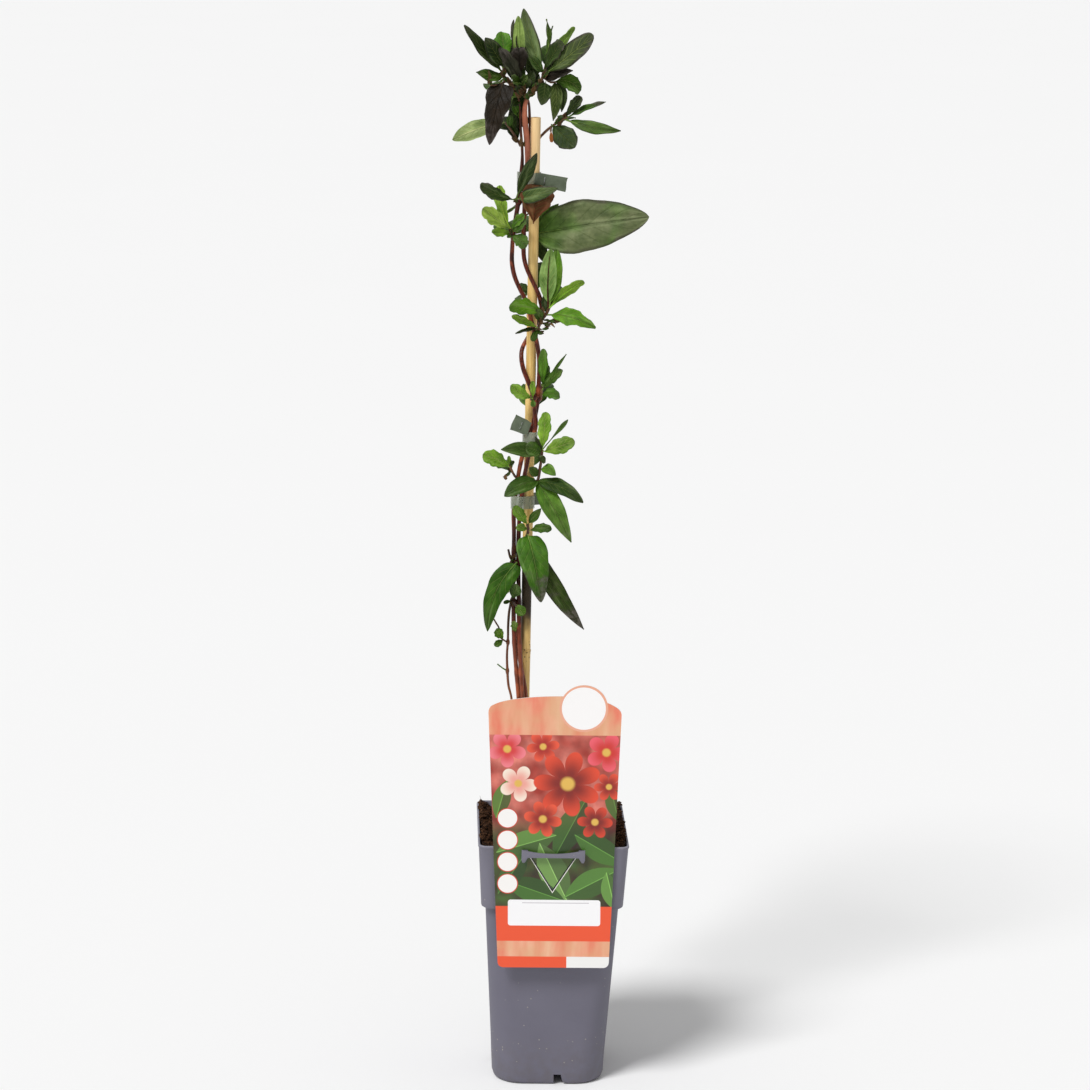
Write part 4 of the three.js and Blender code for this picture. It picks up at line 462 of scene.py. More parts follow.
SPRAYS["tie_middle_leaves"] = Spray("green_leaf", twigs=[
    (1.15, [(-24.5, -1, 449), (-21, -5, 451), (-16, -6.5, 454), (-14.5, -7, 462), (-13.5, -7, 469.5),
        (-13, -7, 477)]),
], leaves=[
    Leaf((-13, -7, 476), (-11, -12, 506), 9.5, (0, -3, 1), BLUNT, YOUNG, fold=0.2, wave=0.5,
         tone=(164, 210, 62)),
    Leaf((-13, -7, 477), (5, -14, 501), 3.4, (0, -3, 1), LANCE, GREEN, arch=0.8, blunt=0.4, late=3,
         tone=(86, 126, 42)),
    Leaf((-13.5, -7, 475.5), (10, -16, 486), 12, (0, -3, 1), BLUNT, YOUNG, arch=1.5, fold=0.25, wave=0.9,
         sweep=0.5, blunt=0.35, late=1.2, lobes=0.07, tone=(154, 200, 66)),
    Leaf((-13.5, -7, 476), (-18, -9, 487), 5, (0, -3, 1), LANCE, DARK, arch=0.6, tone=(60, 70, 30)),
    Leaf((-13, -7, 475), (-25, -15, 481), 11, (0, -3, 1), BLUNT, GREEN, fold=0.2, wave=0.4, lobes=0.04,
         tone=(88, 136, 32)),
    Leaf((-13.5, -7, 472.5), (-43, -17, 479), 11, (0, -2, 1), LANCE, GREEN, arch=2.5, fold=0.2, sweep=2,
         tone=(70, 108, 22), marks=(0.3, 0.2, 0.1, 0.3)),
    Leaf((-14, -7, 463), (-3, -15, 460), 8, (0, -3, 1), OVATE, GREEN, arch=1.5, fold=0.2, sweep=-2,
         tone=(108, 156, 38)),
    Leaf((-15.5, -7, 457.5), (-22, -12, 465), 7, (0, -3, 1), BLUNT, DARK, fold=0.2, blunt=0.2, late=0.9,
         tone=(70, 104, 26)),
    Leaf((-14, -7.5, 469), (-11, -12, 473), 7, (0, -3, 1), BLUNT, DARK, fold=0.2, blunt=0.2, late=0.9,
         tone=(56, 82, 22)),
    Leaf((-16, -6.5, 454), (-40, -20, 445), 14, (0, -2, 2), OVATE, DARK, arch=3, fold=0.15, sweep=1,
         stalk=0.02, tone=(70, 108, 16), marks=(0.3, 0.2, 0.1, 0.12)),
    Leaf((-16, -6.5, 454), (17, -20, 441), 12.5, (0, -2, 2), OVATE, DARK, arch=3, fold=0.15, sweep=-2,
         stalk=0.02, tone=(64, 98, 16), marks=(0.5, 0.4, 0.15, 0.08)),
    Leaf((-16, -6.5, 454), (9, -22, 412), 15.5, (0, -3, 1), LANCE, DARK, arch=3, fold=0.12, sweep=-0.5,
         late=0.8, stalk=0.02, tone=(100, 146, 32), marks=(0.4, 0.4, 0.14, 0.25)),
], tufts=[
    ((-13.5, 2, 471.5), (0.2, -0.6, 1), 5, 5),
    ((-17.5, -2, 478.5), (0.2, -0.5, 1), 4, 5),
])
SPRAYS["tie_left_shoot"] = Spray("young_leaf", twigs=[
    (0.9, [(-29.5, 0.5, 453), (-32.5, -1.5, 456.5), (-35, -2.5, 461.5), (-36.5, -2.5, 465.5)]),
], leaves=[
    Leaf((-35.5, -2.5, 462.5), (-56, -11, 474), 11.5, (0, -3, 1), BLUNT, YOUNG, fold=0.15, wave=0.3, sweep=1),
    Leaf((-36.5, -2.5, 464.5), (-37, -6, 472), 3, (0, -2, 1), BLUNT, YOUNG, arch=0.4),
    Leaf((-36.5, -2.5, 464), (-33, -5, 468), 3, (0, -2, 1), BLUNT, DARK, arch=0.4),
    Leaf((-35, -2.5, 461), (-41, -5, 456), 2.4, (0, -2, 1), LANCE, DARK, arch=0.4, sweep=-1),
    Leaf((-34, -2, 460), (-44, 24, 461), 12, (-1, -1, 3), LANCE, GREEN, arch=2, fold=0.2),
], tufts=[
    ((-35, 1, 460), (-0.5, -0.5, 1), 4, 4),
    ((-39, -3, 457), (-0.6, -0.4, -0.6), 3, 4),
])
SPRAYS["back_upper_leaves"] = Spray("green_leaf", knot=(-21.5, 11, 498.5, 3), twigs=[
    (1, [(-21.5, 11, 498.5), (-21, 14, 500), (-19.5, 18, 502)]),
], leaves=[
    Leaf((-20.5, 16, 501), (-12, 40, 515), 15, (0, -1, 2), LANCE, GREEN, arch=3, fold=0.2),
    Leaf((-20.5, 16, 501), (-26, 38, 517), 12, (-1, -1, 2), LANCE, GREEN, arch=3, fold=0.2),
])
SPRAYS["back_middle_leaves"] = Spray("dark_leaf", knot=(-21.5, 11, 452, 3), twigs=[
    (1, [(-21.5, 11, 452), (-21.5, 14, 454), (-20.5, 18, 456.5)]),
], leaves=[
    Leaf((-21, 16, 455.5), (-8, 46, 437), 18, (1, -1, 3), OVATE, DARK, arch=-3, fold=0.15),
    Leaf((-21, 16, 455.5), (-32, 44, 442), 16, (-1, -1, 3), LANCE, DARK, arch=-3, fold=0.15),
    Leaf((-20.5, 18, 456.5), (-16, 34, 473), 13, (0, -1, 2), LANCE, GREEN, arch=2, fold=0.2),
])
SPRAYS["back_lower_leaves"] = Spray("dark_leaf", knot=(-21.5, 11, 399.5, 3), twigs=[
    (1, [(-21.5, 11, 399.5), (-21.5, 14.5, 401), (-21, 19, 403)]),
], leaves=[
    Leaf((-21.5, 17, 402.5), (-8, 44, 381), 18, (1, -1, 3), OVATE, DARK, arch=-3, fold=0.15),
    Leaf((-21.5, 17, 402.5), (-32, 42, 386), 16, (-1, -1, 3), OVATE, GREEN, arch=-3, fold=0.15),
])
SPRAYS["base_front_shoot"] = Spray("green_leaf", twigs=[
    (1.1, [(-28, 3.5, 405), (-26, -1.5, 407.5), (-23.5, -4.5, 411), (-22, -5.5, 415.5), (-22.5, -6, 421.5)]),
], leaves=[
    Leaf((-22.5, -6, 421), (-33, -12, 436), 8, (0, -3, 1), BLUNT, YOUNG, fold=0.25),
    Leaf((-22, -6, 421.5), (-13, -9, 434), 6.5, (0, -3, 1), LANCE, GREEN, arch=0.8),
    Leaf((-21.5, -6, 416.5), (-5, -13, 420), 7, (0, -3, 1), BLUNT, GREEN, arch=1.5, fold=0.25, wave=0.8,
         sweep=-1),
    Leaf((-23, -6, 417), (-31, -11, 420), 6, (0, -3, 1), BLUNT, YOUNG, arch=1.5, wave=0.5, sweep=1),
    Leaf((-22.5, -5.5, 414.5), (-12, -22, 367), 22, (0, -4, 1), ROUND, GREEN, arch=4, fold=0.1, wave=0.3,
         sweep=-1, blunt=0, late=0.82, stalk=0.04, tone=(80, 128, 18), marks=(0.35, 1.1, 0.1, 0.12)),
    Leaf((-23, -5, 413), (20, -15, 345), 13.5, (0, -3, 1), LANCE, DARK, arch=2.5, fold=0.12, sweep=3,
         tone=(66, 92, 20), marks=(0.7, 1.1, 0.1, 0.12)),
])
SPRAYS["base_left_leaf"] = Spray("green_leaf", knot=(-32, 2, 390.5, 3.2), twigs=[
    (0.9, [(-32, 2, 390.5), (-34.5, 0.5, 395), (-36, -1, 401)]),
    (0.8, [(-32, 1, 391), (-30.5, -2.5, 392.5), (-29.5, -4.5, 392.5)]),
], leaves=[
    Leaf((-29.5, -4.5, 392.5), (-50.5, -12, 342), 17, (-1, -4, 1), ROUND, GREEN, arch=2, fold=0.08, wave=0.3,
         sweep=5.5, late=0.8, stalk=0.03, tone=(66, 112, 6), marks=(0.3, 0.35, 0.15, 0.08)),
    Leaf((-32, 2, 389.5), (-37, 36, 357), 17, (-1, -1, 3), OVATE, GREEN, arch=-2, fold=0.15),
], tufts=[
    ((-32.5, 0.5, 393), (-0.4, -0.5, 1), 4, 4),
])
SPRAYS["base_node_leaves"] = Spray("green_leaf", knot=(-31.5, 1, 361, 3.2), twigs=[
    (0.85, [(-31.5, 1, 359.5), (-33.5, -3, 363.5), (-32.5, -4, 366)]),
    (0.75, [(-33, -3, 363), (-30.5, -5.5, 361), (-29, -6.5, 360)]),
], leaves=[
    Leaf((-33, -3.5, 364.5), (-30, -8, 377), 9, (0, -3, 1), BLUNT, GREEN, arch=0.8, fold=0.15, wave=0.2,
         sweep=1, blunt=0.3, lobes=0.02, tone=(84, 120, 50)),
    Leaf((-30, -5.5, 361), (-24, -10, 354), 8, (0, -3, 1), BLUNT, YOUNG, arch=0.8, fold=0.15, blunt=0.4,
         late=1.1, lobes=0.02, tone=(96, 148, 30)),
    Leaf((-33, -3, 363), (-39, -6, 362), 3, (0, -2, 1), BLUNT, GREEN, arch=0.4),
], tufts=[
    ((-32.5, 0, 360.5), (-0.4, -0.5, 0.6), 4, 4),
])
SPRAYS["base_bud"] = Spray("young_leaf", leaves=[
    Leaf((-30, -2, 338.5), (-31, -4, 348), 5, (0, -3, 1), BLUNT, YOUNG, arch=0.5, wave=0.5, lobes=0.2,
         tone=(110, 140, 60)),
])
SPRAYS["thin_shoot_leaves"] = Spray("young_leaf", knot=(-35, 3, 330, 2.3), twigs=[
    (0.6, [(-35, 3, 329.5), (-38.5, 0, 332.5), (-41.5, -1.5, 335.5), (-41.5, -1, 341), (-43.5, -0.5, 344.5),
        (-46, 0, 348.5)]),
], leaves=[
    Leaf((-39, -0.5, 333), (-44, -5, 342), 7, (0, -3, 1), BLUNT, YOUNG, arch=0.8, fold=0.2, wave=0.5,
         lobes=0.1, tone=(112, 160, 40)),
    Leaf((-38.5, 0, 332.5), (-45, -5, 329), 5, (0, -3, 1), BLUNT, GREEN, arch=0.8, lobes=0.08,
         tone=(96, 144, 40)),
    Leaf((-41.5, -1.5, 336.5), (-39, -5, 340), 4, (0, -3, 1), BLUNT, YOUNG, arch=0.4),
])
SPRAYS["thin_stem_twig"] = Spray("green_leaf", knot=(-35, 3, 308, 2.3), twigs=[
    (0.5, [(-35, 3, 308), (-38.5, 1, 310.5), (-42.5, -0.5, 314)]),
])

# ---- working by hand ----


def put_all_down():
    """Leaves edit mode and selects nothing."""
    active = bpy.context.view_layer.objects.active
    if active is not None and active.mode != "OBJECT":
        bpy.ops.object.mode_set(mode="OBJECT")
    bpy.ops.object.select_all(action="DESELECT")


def pick(*things):
    """Selects these objects alone and makes the first of them active."""
    put_all_down()
    for thing in things:
        thing.select_set(True)
    bpy.context.view_layer.objects.active = things[0]


def open_up():
    """Enters edit mode with everything selected and returns the mesh to place points in."""
    bpy.ops.object.mode_set(mode="EDIT")
    bpy.ops.mesh.select_all(action="SELECT")
    return bmesh.from_edit_mesh(bpy.context.object.data)


def close_up():
    bmesh.update_edit_mesh(bpy.context.object.data)
    bpy.ops.object.mode_set(mode="OBJECT")


def round_blank(name, count):
    """A flat disc of one face, to be drawn up into a body."""
    put_all_down()
    bpy.ops.mesh.primitive_circle_add(vertices=count, radius=1, fill_type="NGON")
    bpy.context.object.name = name
    return bpy.context.object


def pull_up(piece, rings):
    """Draws a body up level by level from a flat blank. Each level places its points, in millimetres."""
    pick(piece)
    mesh = open_up()
    verts = list(mesh.verts)
    for level, points in enumerate(rings):
        if level:
            bpy.ops.mesh.extrude_region_move()
            mesh = bmesh.from_edit_mesh(piece.data)
            fresh = {tuple(v.co): v for v in mesh.verts if v.select}
            verts = [fresh[place] for place in places]
        for vert, point in zip(verts, points):
            vert.co = Vector(point) * MM
        places = [tuple(vert.co) for vert in verts]
    bpy.ops.mesh.select_all(action="SELECT")
    bpy.ops.mesh.normals_make_consistent(inside=False)
    close_up()
    return piece


def draw_wire(name, points, radii, sides=12):
    """A round wire or stem along points in millimetres, with a radius for each point."""
    put_all_down()
    bpy.ops.curve.primitive_nurbs_path_add()
    piece = bpy.context.object
    piece.name = name
    curve = piece.data
    curve.splines.clear()
    line = curve.splines.new("POLY")
    line.points.add(len(points) - 1)
    for spot, place, radius in zip(line.points, points, radii):
        spot.co = (place[0] * MM, place[1] * MM, place[2] * MM, 1)
        spot.radius = radius
    curve.dimensions = "3D"
    curve.bevel_depth = MM
    curve.bevel_resolution = max(0, sides // 2 - 2)
    curve.use_fill_caps = True
    pick(piece)
    bpy.ops.object.convert(target="MESH")
    open_up()
    bpy.ops.mesh.remove_doubles(threshold=0.00001)
    bpy.ops.mesh.normals_make_consistent(inside=False)
    close_up()
    return bpy.context.object


def run_curve(points, step):
    """A smooth run through points, with a station at least every step, in millimetres."""
    spots = [np.array(p, float) for p in points]
    ends = [2 * spots[0] - spots[1], *spots, 2 * spots[-1] - spots[-2]]
    run = []
    for before, here, there, after in zip(ends, ends[1:], ends[2:], ends[3:]):
        knots = [0.0]
        for a, b in ((before, here), (here, there), (there, after)):
            knots.append(knots[-1] + max(np.linalg.norm(b - a), 1e-6) ** 0.5)
        count = max(1, math.ceil(np.linalg.norm(there - here) / step))
        for k in range(count):
            t = knots[1] + (knots[2] - knots[1]) * k / count

            def mix(a, b, i, j):
                return (a * (knots[j] - t) + b * (t - knots[i])) / (knots[j] - knots[i])

            first, middle, last = mix(before, here, 0, 1), mix(here, there, 1, 2), mix(there, after, 2, 3)
            run.append(mix(mix(first, middle, 0, 2), mix(middle, last, 1, 3), 1, 2))
    run.append(spots[-1])
    return run


def apply_with(piece, kind, **settings):
    """Adds a modifier, sets it and applies it."""
    pick(piece)
    modifier = piece.modifiers.new(kind.lower(), kind)
    for option, value in settings.items():
        setattr(modifier, option, value)
    bpy.ops.object.modifier_apply(modifier=modifier.name)
    return piece


def cut_out(piece, tool):
    """Cuts a tool out of a piece and throws the tool away."""
    apply_with(piece, "BOOLEAN", object=tool, operation="DIFFERENCE", solver="EXACT")
    bpy.data.objects.remove(tool)


def weld_on(piece, other):
    """Joins another body to a piece as one skin."""
    apply_with(piece, "BOOLEAN", object=other, operation="UNION", solver="EXACT")
    bpy.data.objects.remove(other)


def gather(name, things):
    """Makes one piece of several and sets its origin in the middle of the pot's underside."""
    pick(*things)
    if len(things) > 1:
        bpy.ops.object.join()
    piece = bpy.context.object
    piece.name = piece.data.name = name
    bpy.ops.object.transform_apply(location=True, rotation=True, scale=True)
    return piece


def smooth(piece, degrees=40):
    pick(piece)
    bpy.ops.object.shade_smooth_by_angle(angle=math.radians(degrees))


def settle(piece, node, slot, *finishes):
    """Hands a finished piece over: its finishes, the node it stands for and the body it rides on."""
    if finishes:
        piece.data.materials.clear()
        for finish in finishes:
            piece.data.materials.append(finish)
    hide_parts(node)
    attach(piece, "root")
    return piece


def drop(*things):
    for thing in things:
        bpy.data.objects.remove(thing)


# ---- finishes ----


def paint(red, green, blue):
    """A colour of 0 to 255 as linear light."""
    shares = [c / 255 for c in (red, green, blue)]
    return (*[c / 12.92 if c < 0.04045 else ((c + 0.055) / 1.055) ** 2.4 for c in shares], 1)


class Layer:
    """A value that changes over a surface. A sum with it adds the node that works it out."""

    def __init__(self, recipe, socket):
        self.recipe = recipe
        self.socket = socket

    def __add__(self, other):
        return self.recipe.reckon("ADD", self, other)

    def __sub__(self, other):
        return self.recipe.reckon("SUBTRACT", self, other)

    def __rsub__(self, other):
        return self.recipe.reckon("SUBTRACT", other, self)

    def __mul__(self, other):
        return self.recipe.reckon("MULTIPLY", self, other)

    def __truediv__(self, other):
        return self.recipe.reckon("DIVIDE", self, other)

    def __pow__(self, other):
        return self.recipe.reckon("POWER", self, other)

    def __abs__(self):
        return self.recipe.reckon("ABSOLUTE", self)

    def clamped(self):
        return self.recipe.step("Clamp", [self])

    def rise(self, low, high):
        """0 up to low and 1 from high on, smooth between. With low above high it falls."""
        feeds = [self, low, high, 0, 1] if low < high else [self, high, low, 1, 0]
        return self.recipe.step("MapRange", feeds, interpolation_type="SMOOTHSTEP")


def in_words(label):
    return label.replace("_", " ")


class Recipe:
    """Lays out the nodes of one finish or of one shared effect."""

    def __init__(self, tree):
        self.tree = tree

    def feed(self, socket, value):
        """Links a layer to a socket, or sets a plain value on it."""
        if isinstance(value, Layer):
            self.tree.links.new(value.socket, socket)
        else:
            socket.default_value = value

    def step(self, kind, feeds=(), take=0, **settings):
        """Adds a node and returns one of its outputs, or all of them where take is None."""
        node = self.tree.nodes.new("ShaderNode" + kind)
        for option, value in settings.items():
            setattr(node, option, value)
        for socket, value in feeds.items() if isinstance(feeds, dict) else enumerate(feeds):
            self.feed(node.inputs[socket], value)
        if take is None:
            return [Layer(self, socket) for socket in node.outputs]
        return Layer(self, node.outputs[take])

    def reckon(self, operation, *values):
        return self.step("Math", values, operation=operation)

    def parts(self, vector):
        return self.step("SeparateXYZ", [vector], None)

    def reach(self, across, up):
        return self.reckon("SQRT", across * across + up * up)

    def contrasted(self, noise, contrast):
        return ((noise - 0.5) * contrast + 0.5).clamped()


class Effect(Recipe):
    """A node group with named inputs and outputs. An input without a number takes a place."""

    def __init__(self, name, **inputs):
        super().__init__(bpy.data.node_groups.new(name, "ShaderNodeTree"))
        for label, value in inputs.items():
            kind = "NodeSocketVector" if value is None else "NodeSocketFloat"
            socket = self.tree.interface.new_socket(name=in_words(label), in_out="INPUT", socket_type=kind)
            if value is not None:
                socket.default_value = value
        sockets = list(self.tree.nodes.new("NodeGroupInput").outputs)
        self.given = [Layer(self, socket) for socket in sockets[:len(inputs)]]

    def give(self, **results):
        for label in results:
            kind = "NodeSocketVector" if label == "Normal" else "NodeSocketFloat"
            self.tree.interface.new_socket(name=in_words(label), in_out="OUTPUT", socket_type=kind)
        end = self.tree.nodes.new("NodeGroupOutput")
        for label, layer in results.items():
            self.feed(end.inputs[in_words(label)], layer)


def mottling():
    """Soft patches, as uneven dye or growth leaves them."""
    own = Effect("mottling", Vector=None, Scale=100, Detail=3, Contrast=1)
    place, scale, detail, contrast = own.given
    noise = own.step("TexNoise", {"Vector": place, "Scale": scale, "Detail": detail})
    own.give(Value=own.contrasted(noise, contrast))


def long_fibres():
    """Streaks that run up the piece, as in bark and bamboo."""
    own = Effect("long fibres", Vector=None, Across=900, Along=30, Contrast=2)
    place, across, along, contrast = own.given
    x, y, z = own.parts(place)
    stretched = own.step("CombineXYZ", [x * across, y * across, z * along])
    noise = own.step("TexNoise", {"Vector": stretched, "Scale": 1, "Detail": 3})
    own.give(Value=own.contrasted(noise, contrast))


def specks():
    """Small scattered dots, as of dust, pores or splashes."""
    own = Effect("specks", Vector=None, Scale=300, Size=0.2, Share=0.3)
    place, scale, size, share = own.given
    away, colour, *_ = own.step("TexVoronoi", {"Vector": place, "Scale": scale}, None)
    chosen = own.reckon("LESS_THAN", own.parts(colour)[0], share)
    own.give(Mask=own.reckon("LESS_THAN", away, size) * chosen)


def fine_relief():
    """A fine uneven surface that catches the light."""
    own = Effect("fine relief", Vector=None, Scale=800, Depth=0.0001, Height=0)
    place, scale, depth, height = own.given
    noise = own.step("TexNoise", {"Vector": place, "Scale": scale, "Detail": 4})
    own.give(Normal=own.step("Bump", {"Height": noise + height, "Distance": depth, "Strength": 1}))


def leaf_veins():
    """The midrib and the side veins of a blade whose place is (across -1 to 1, along 0 to 1)."""
    own = Effect("leaf veins", Blade=None, Pairs=7, Slant=0.28)
    blade, pairs, slant = own.given
    u, t, _ = own.parts(blade)
    off = abs(u)
    midrib = (off / (t * -0.02 + 0.045)).rise(1.3, 0.5)
    gap = own.reckon("PINGPONG", (t - off ** 0.85 * slant) * pairs, 0.5)
    own.give(Midrib=midrib, Side_veins=gap.rise(0.11, 0.02) * off.rise(0.97, 0.6))


PRINT_EDGE = 0.12  # how far a printed edge runs out to each side, in millimetres


def printed_box():
    """An upright rectangle with round corners, in millimetres."""
    own = Effect("printed box", X=0, Z=0, Left=0, Right=1, Foot=0, Top=1, Corner=0)
    x, z, left, right, foot, top, corner = own.given
    beyond = [abs(spot - (low + high) * 0.5) - (high - low) * 0.5 + corner
              for spot, low, high in ((x, left, right), (z, foot, top))]
    outside = own.reach(*[own.reckon("MAXIMUM", side, 0) for side in beyond])
    inside = own.reckon("MINIMUM", own.reckon("MAXIMUM", *beyond), 0)
    own.give(Mask=(outside + inside - corner).rise(PRINT_EDGE, -PRINT_EDGE))


def printed_disc():
    """A disc, in millimetres."""
    own = Effect("printed disc", X=0, Z=0, Centre_X=0, Centre_Z=0, Radius=1)
    x, z, centre_x, centre_z, radius = own.given
    own.give(Mask=(own.reach(x - centre_x, z - centre_z) - radius).rise(PRINT_EDGE, -PRINT_EDGE))


def printed_blossom():
    """A round blossom of plain petals with a paler edge and a darker heart."""
    own = Effect("printed blossom", X=0, Z=0, Centre_X=0, Centre_Z=0, Radius=10, Petals=5, Turn=0)
    x, z, centre_x, centre_z, radius, petals, turn = own.given
    across, up = x - centre_x, z - centre_z
    away = own.reach(across, up)
    angle = own.reckon("ARCTAN2", up, across) + turn
    petal = abs(own.reckon("COSINE", angle * petals * 0.5)) ** 0.55
    share = away / (radius * (petal * 0.62 + 0.38))
    own.give(Mask=share.rise(1.02, 0.97), Rim=share.rise(0.3, 1) * petal,
             Heart=(away / radius).rise(0.26, 0.14))


def printed_leaf():
    """A pointed leaf with a pale midrib."""
    own = Effect("printed leaf", X=0, Z=0, Centre_X=0, Centre_Z=0, Length=20, Width=8, Turn=0)
    x, z, centre_x, centre_z, length, width, turn = own.given
    across, up = x - centre_x, z - centre_z
    c, s = own.reckon("COSINE", turn), own.reckon("SINE", turn)
    share = (across * c + up * s) / (length * 0.5)
    off = up * c - across * s
    half = width * 0.5 * (1 - share * share)
    own.give(Mask=(abs(off) - half).rise(0.15, -0.15), Rib=abs(off).rise(0.45, 0.15),
             Half=off.rise(-0.4, 0.4))


for build_effect in (mottling, long_fibres, specks, fine_relief, leaf_veins,
                     printed_box, printed_disc, printed_blossom, printed_leaf):
    build_effect()


class Finish(Recipe):
    """A material. Its colours are layers or 0 to 255, and what is the same all over is set on the shader."""

    def __init__(self, name, **sockets):
        self.material = bpy.data.materials.new(name)
        self.material.use_nodes = True
        super().__init__(self.material.node_tree)
        self.place = self.step("TexCoord", take="Object")
        self.apply(**sockets)

    def apply(self, **sockets):
        shader = self.tree.nodes["Principled BSDF"]
        for label, value in sockets.items():
            self.feed(shader.inputs[in_words(label)], value)
        return self.material

    def height(self):
        """How high a place is, in millimetres."""
        return self.parts(self.place)[2] / MM

    def carried(self, label):
        """The colour, the place and the alpha of what a mesh carries for its points."""
        colour, place, _, alpha = self.step("Attribute", take=None, attribute_name=label)
        return colour, place, alpha

    def blend(self, share, first, second, kind="MIX"):
        """One colour laid over another by a share."""
        first, second = (c if isinstance(c, Layer) else paint(*c) for c in (first, second))
        return self.step("Mix", {0: share, 6: first, 7: second}, 2, data_type="RGBA", blend_type=kind)

    def tint(self, colour, dye, share=1):
        """A colour darkened by a dye."""
        return self.blend(share, colour, dye, "MULTIPLY")

    def effect(self, name, **feeds):
        """Places a shared effect and returns all that it puts out."""
        feeds = {in_words(label): value for label, value in feeds.items()}
        return self.step("Group", feeds, None, node_tree=bpy.data.node_groups[name])

    def mottled(self, scale, detail, contrast, place=None):
        return self.effect("mottling", Vector=place or self.place, Scale=scale, Detail=detail,
                           Contrast=contrast)[0]

    def fibres(self, across, along, contrast):
        return self.effect("long fibres", Vector=self.place, Across=across, Along=along, Contrast=contrast)[0]

    def specks(self, scale, size, share):
        return self.effect("specks", Vector=self.place, Scale=scale, Size=size, Share=share)[0]

    def relief(self, scale, depth, height=0):
        return self.effect("fine relief", Vector=self.place, Scale=scale, Depth=depth, Height=height)[0]


# Heights between which a finish changes, in millimetres.
# Where the painted highlight on the top of the rim lies:
LIP_HIGHLIGHT = (POT_HEIGHT - 0.9, POT_HEIGHT - 0.2)
COLLAR = (COLLAR_FOOT_Z - 2.5, COLLAR_FOOT_Z + 4.5)
GRIME = (50, 0)
DUST_FROM, DUST_TO = (12, 20), (50, 34)
# Where the painted shade on the cane lies, and the painted shadow of the stems down its left side:
CANE_SHADE_FROM, CANE_SHADE_TO = (341, 361), (412, 398)
STEM_SHADOW_FROM, STEM_SHADOW_TO = (290, 330), (352, 346)
PALE_CANE = (600, 700)
BARK_FOOT = (345, 325)
# Where the painted shade on the stems under the low leaves lies:
BARK_SHADE_FROM, BARK_SHADE_TO = (345, 365), (425, 405)
CROWN_BARK, BROWN_BARK = (674, 692), (724, 736)


def pot_finish():
    """Blue-grey moulded plastic: a painted highlight on the lip's top, a paler collar, grime low down, specks
    of dust.
    """
    own = Finish("moulded pot plastic")
    height = own.height()
    patches = own.mottled(28, 5, 1.6)
    grime = own.mottled(160, 6, 3)
    colour = own.blend(patches, (98, 96, 110), (108, 106, 120))
    # painted highlight: the flat top of the rim is painted paler
    colour = own.blend(height.rise(*LIP_HIGHLIGHT), colour, (150, 149, 160))
    colour = own.blend(height.rise(*COLLAR) * 0.5, colour, (122, 120, 132))
    colour = own.blend(grime * height.rise(*GRIME) * 0.35, colour, (92, 84, 78))
    trail = height.rise(*DUST_FROM) * height.rise(*DUST_TO) * grime.rise(0.55, 0.7)
    dust = own.reckon("MAXIMUM", own.specks(420, 0.2, 0.025), own.specks(520, 0.3, 0.16) * trail)
    colour = own.blend(dust * 0.6, colour, (168, 160, 148))
    return own.apply(Base_Color=colour, Roughness=patches * 0.16 + 0.5, Normal=own.relief(900, 0.00006))


def soil_finish(name, dark, mid, light):
    """Dark fibrous compost."""
    own = Finish(name, Roughness=0.95, Specular_IOR_Level=0.15)
    fine = own.mottled(1400, 4, 3)
    colour = own.blend(own.mottled(260, 6, 2.4), dark, mid)
    colour = own.blend(fine.rise(0.62, 0.95), colour, light)
    return own.apply(Base_Color=colour, Normal=own.relief(700, 0.0012, fine))


def bamboo_finish():
    """Dry bamboo: fibres, pores, brown rings at the joints, painted shade under the low leaves, and the
    stems' painted shadow.
    """
    own = Finish("dry bamboo", Specular_IOR_Level=0.25)
    height, across = own.height(), own.parts(own.place)[0] / MM
    fibres = own.fibres(1100, 22, 2.2)
    patches = own.mottled(45, 4, 2.2)
    colour = own.blend(fibres, (214, 170, 90), (252, 222, 150))
    colour = own.blend(patches * 0.45, colour, (212, 166, 92))
    colour = own.blend(height.rise(*PALE_CANE) * 0.5, colour, (244, 212, 172))
    for knot in CANE_KNOTS:
        colour = own.blend(abs(height - knot).rise(2.6, 0.4) * 0.3, colour, (150, 108, 62))
    # painted shade: a near-black band where the low leaves hang in front of the cane
    ragged = height + patches * 16
    colour = own.blend(ragged.rise(*CANE_SHADE_FROM) * ragged.rise(*CANE_SHADE_TO) * 0.97, colour, (24, 15, 10))
    # painted shadow of the stems down the cane's left side
    side = (across + patches * 1.4).rise(CANE_X + 0.1, CANE_X - 1.9)
    stem_shadow = side * height.rise(*STEM_SHADOW_FROM) * height.rise(*STEM_SHADOW_TO)
    colour = own.blend(stem_shadow * 0.8, colour, (44, 28, 18))
    pores = own.specks(520, 0.3, 0.3) * abs(height - CANE_KNOTS[1] - 1).rise(12, 4)
    colour = own.blend(pores * 0.8, colour, (84, 56, 34))
    return own.apply(Base_Color=colour, Roughness=fibres * 0.2 + 0.38,
                     Normal=own.relief(600, 0.00012, fibres))


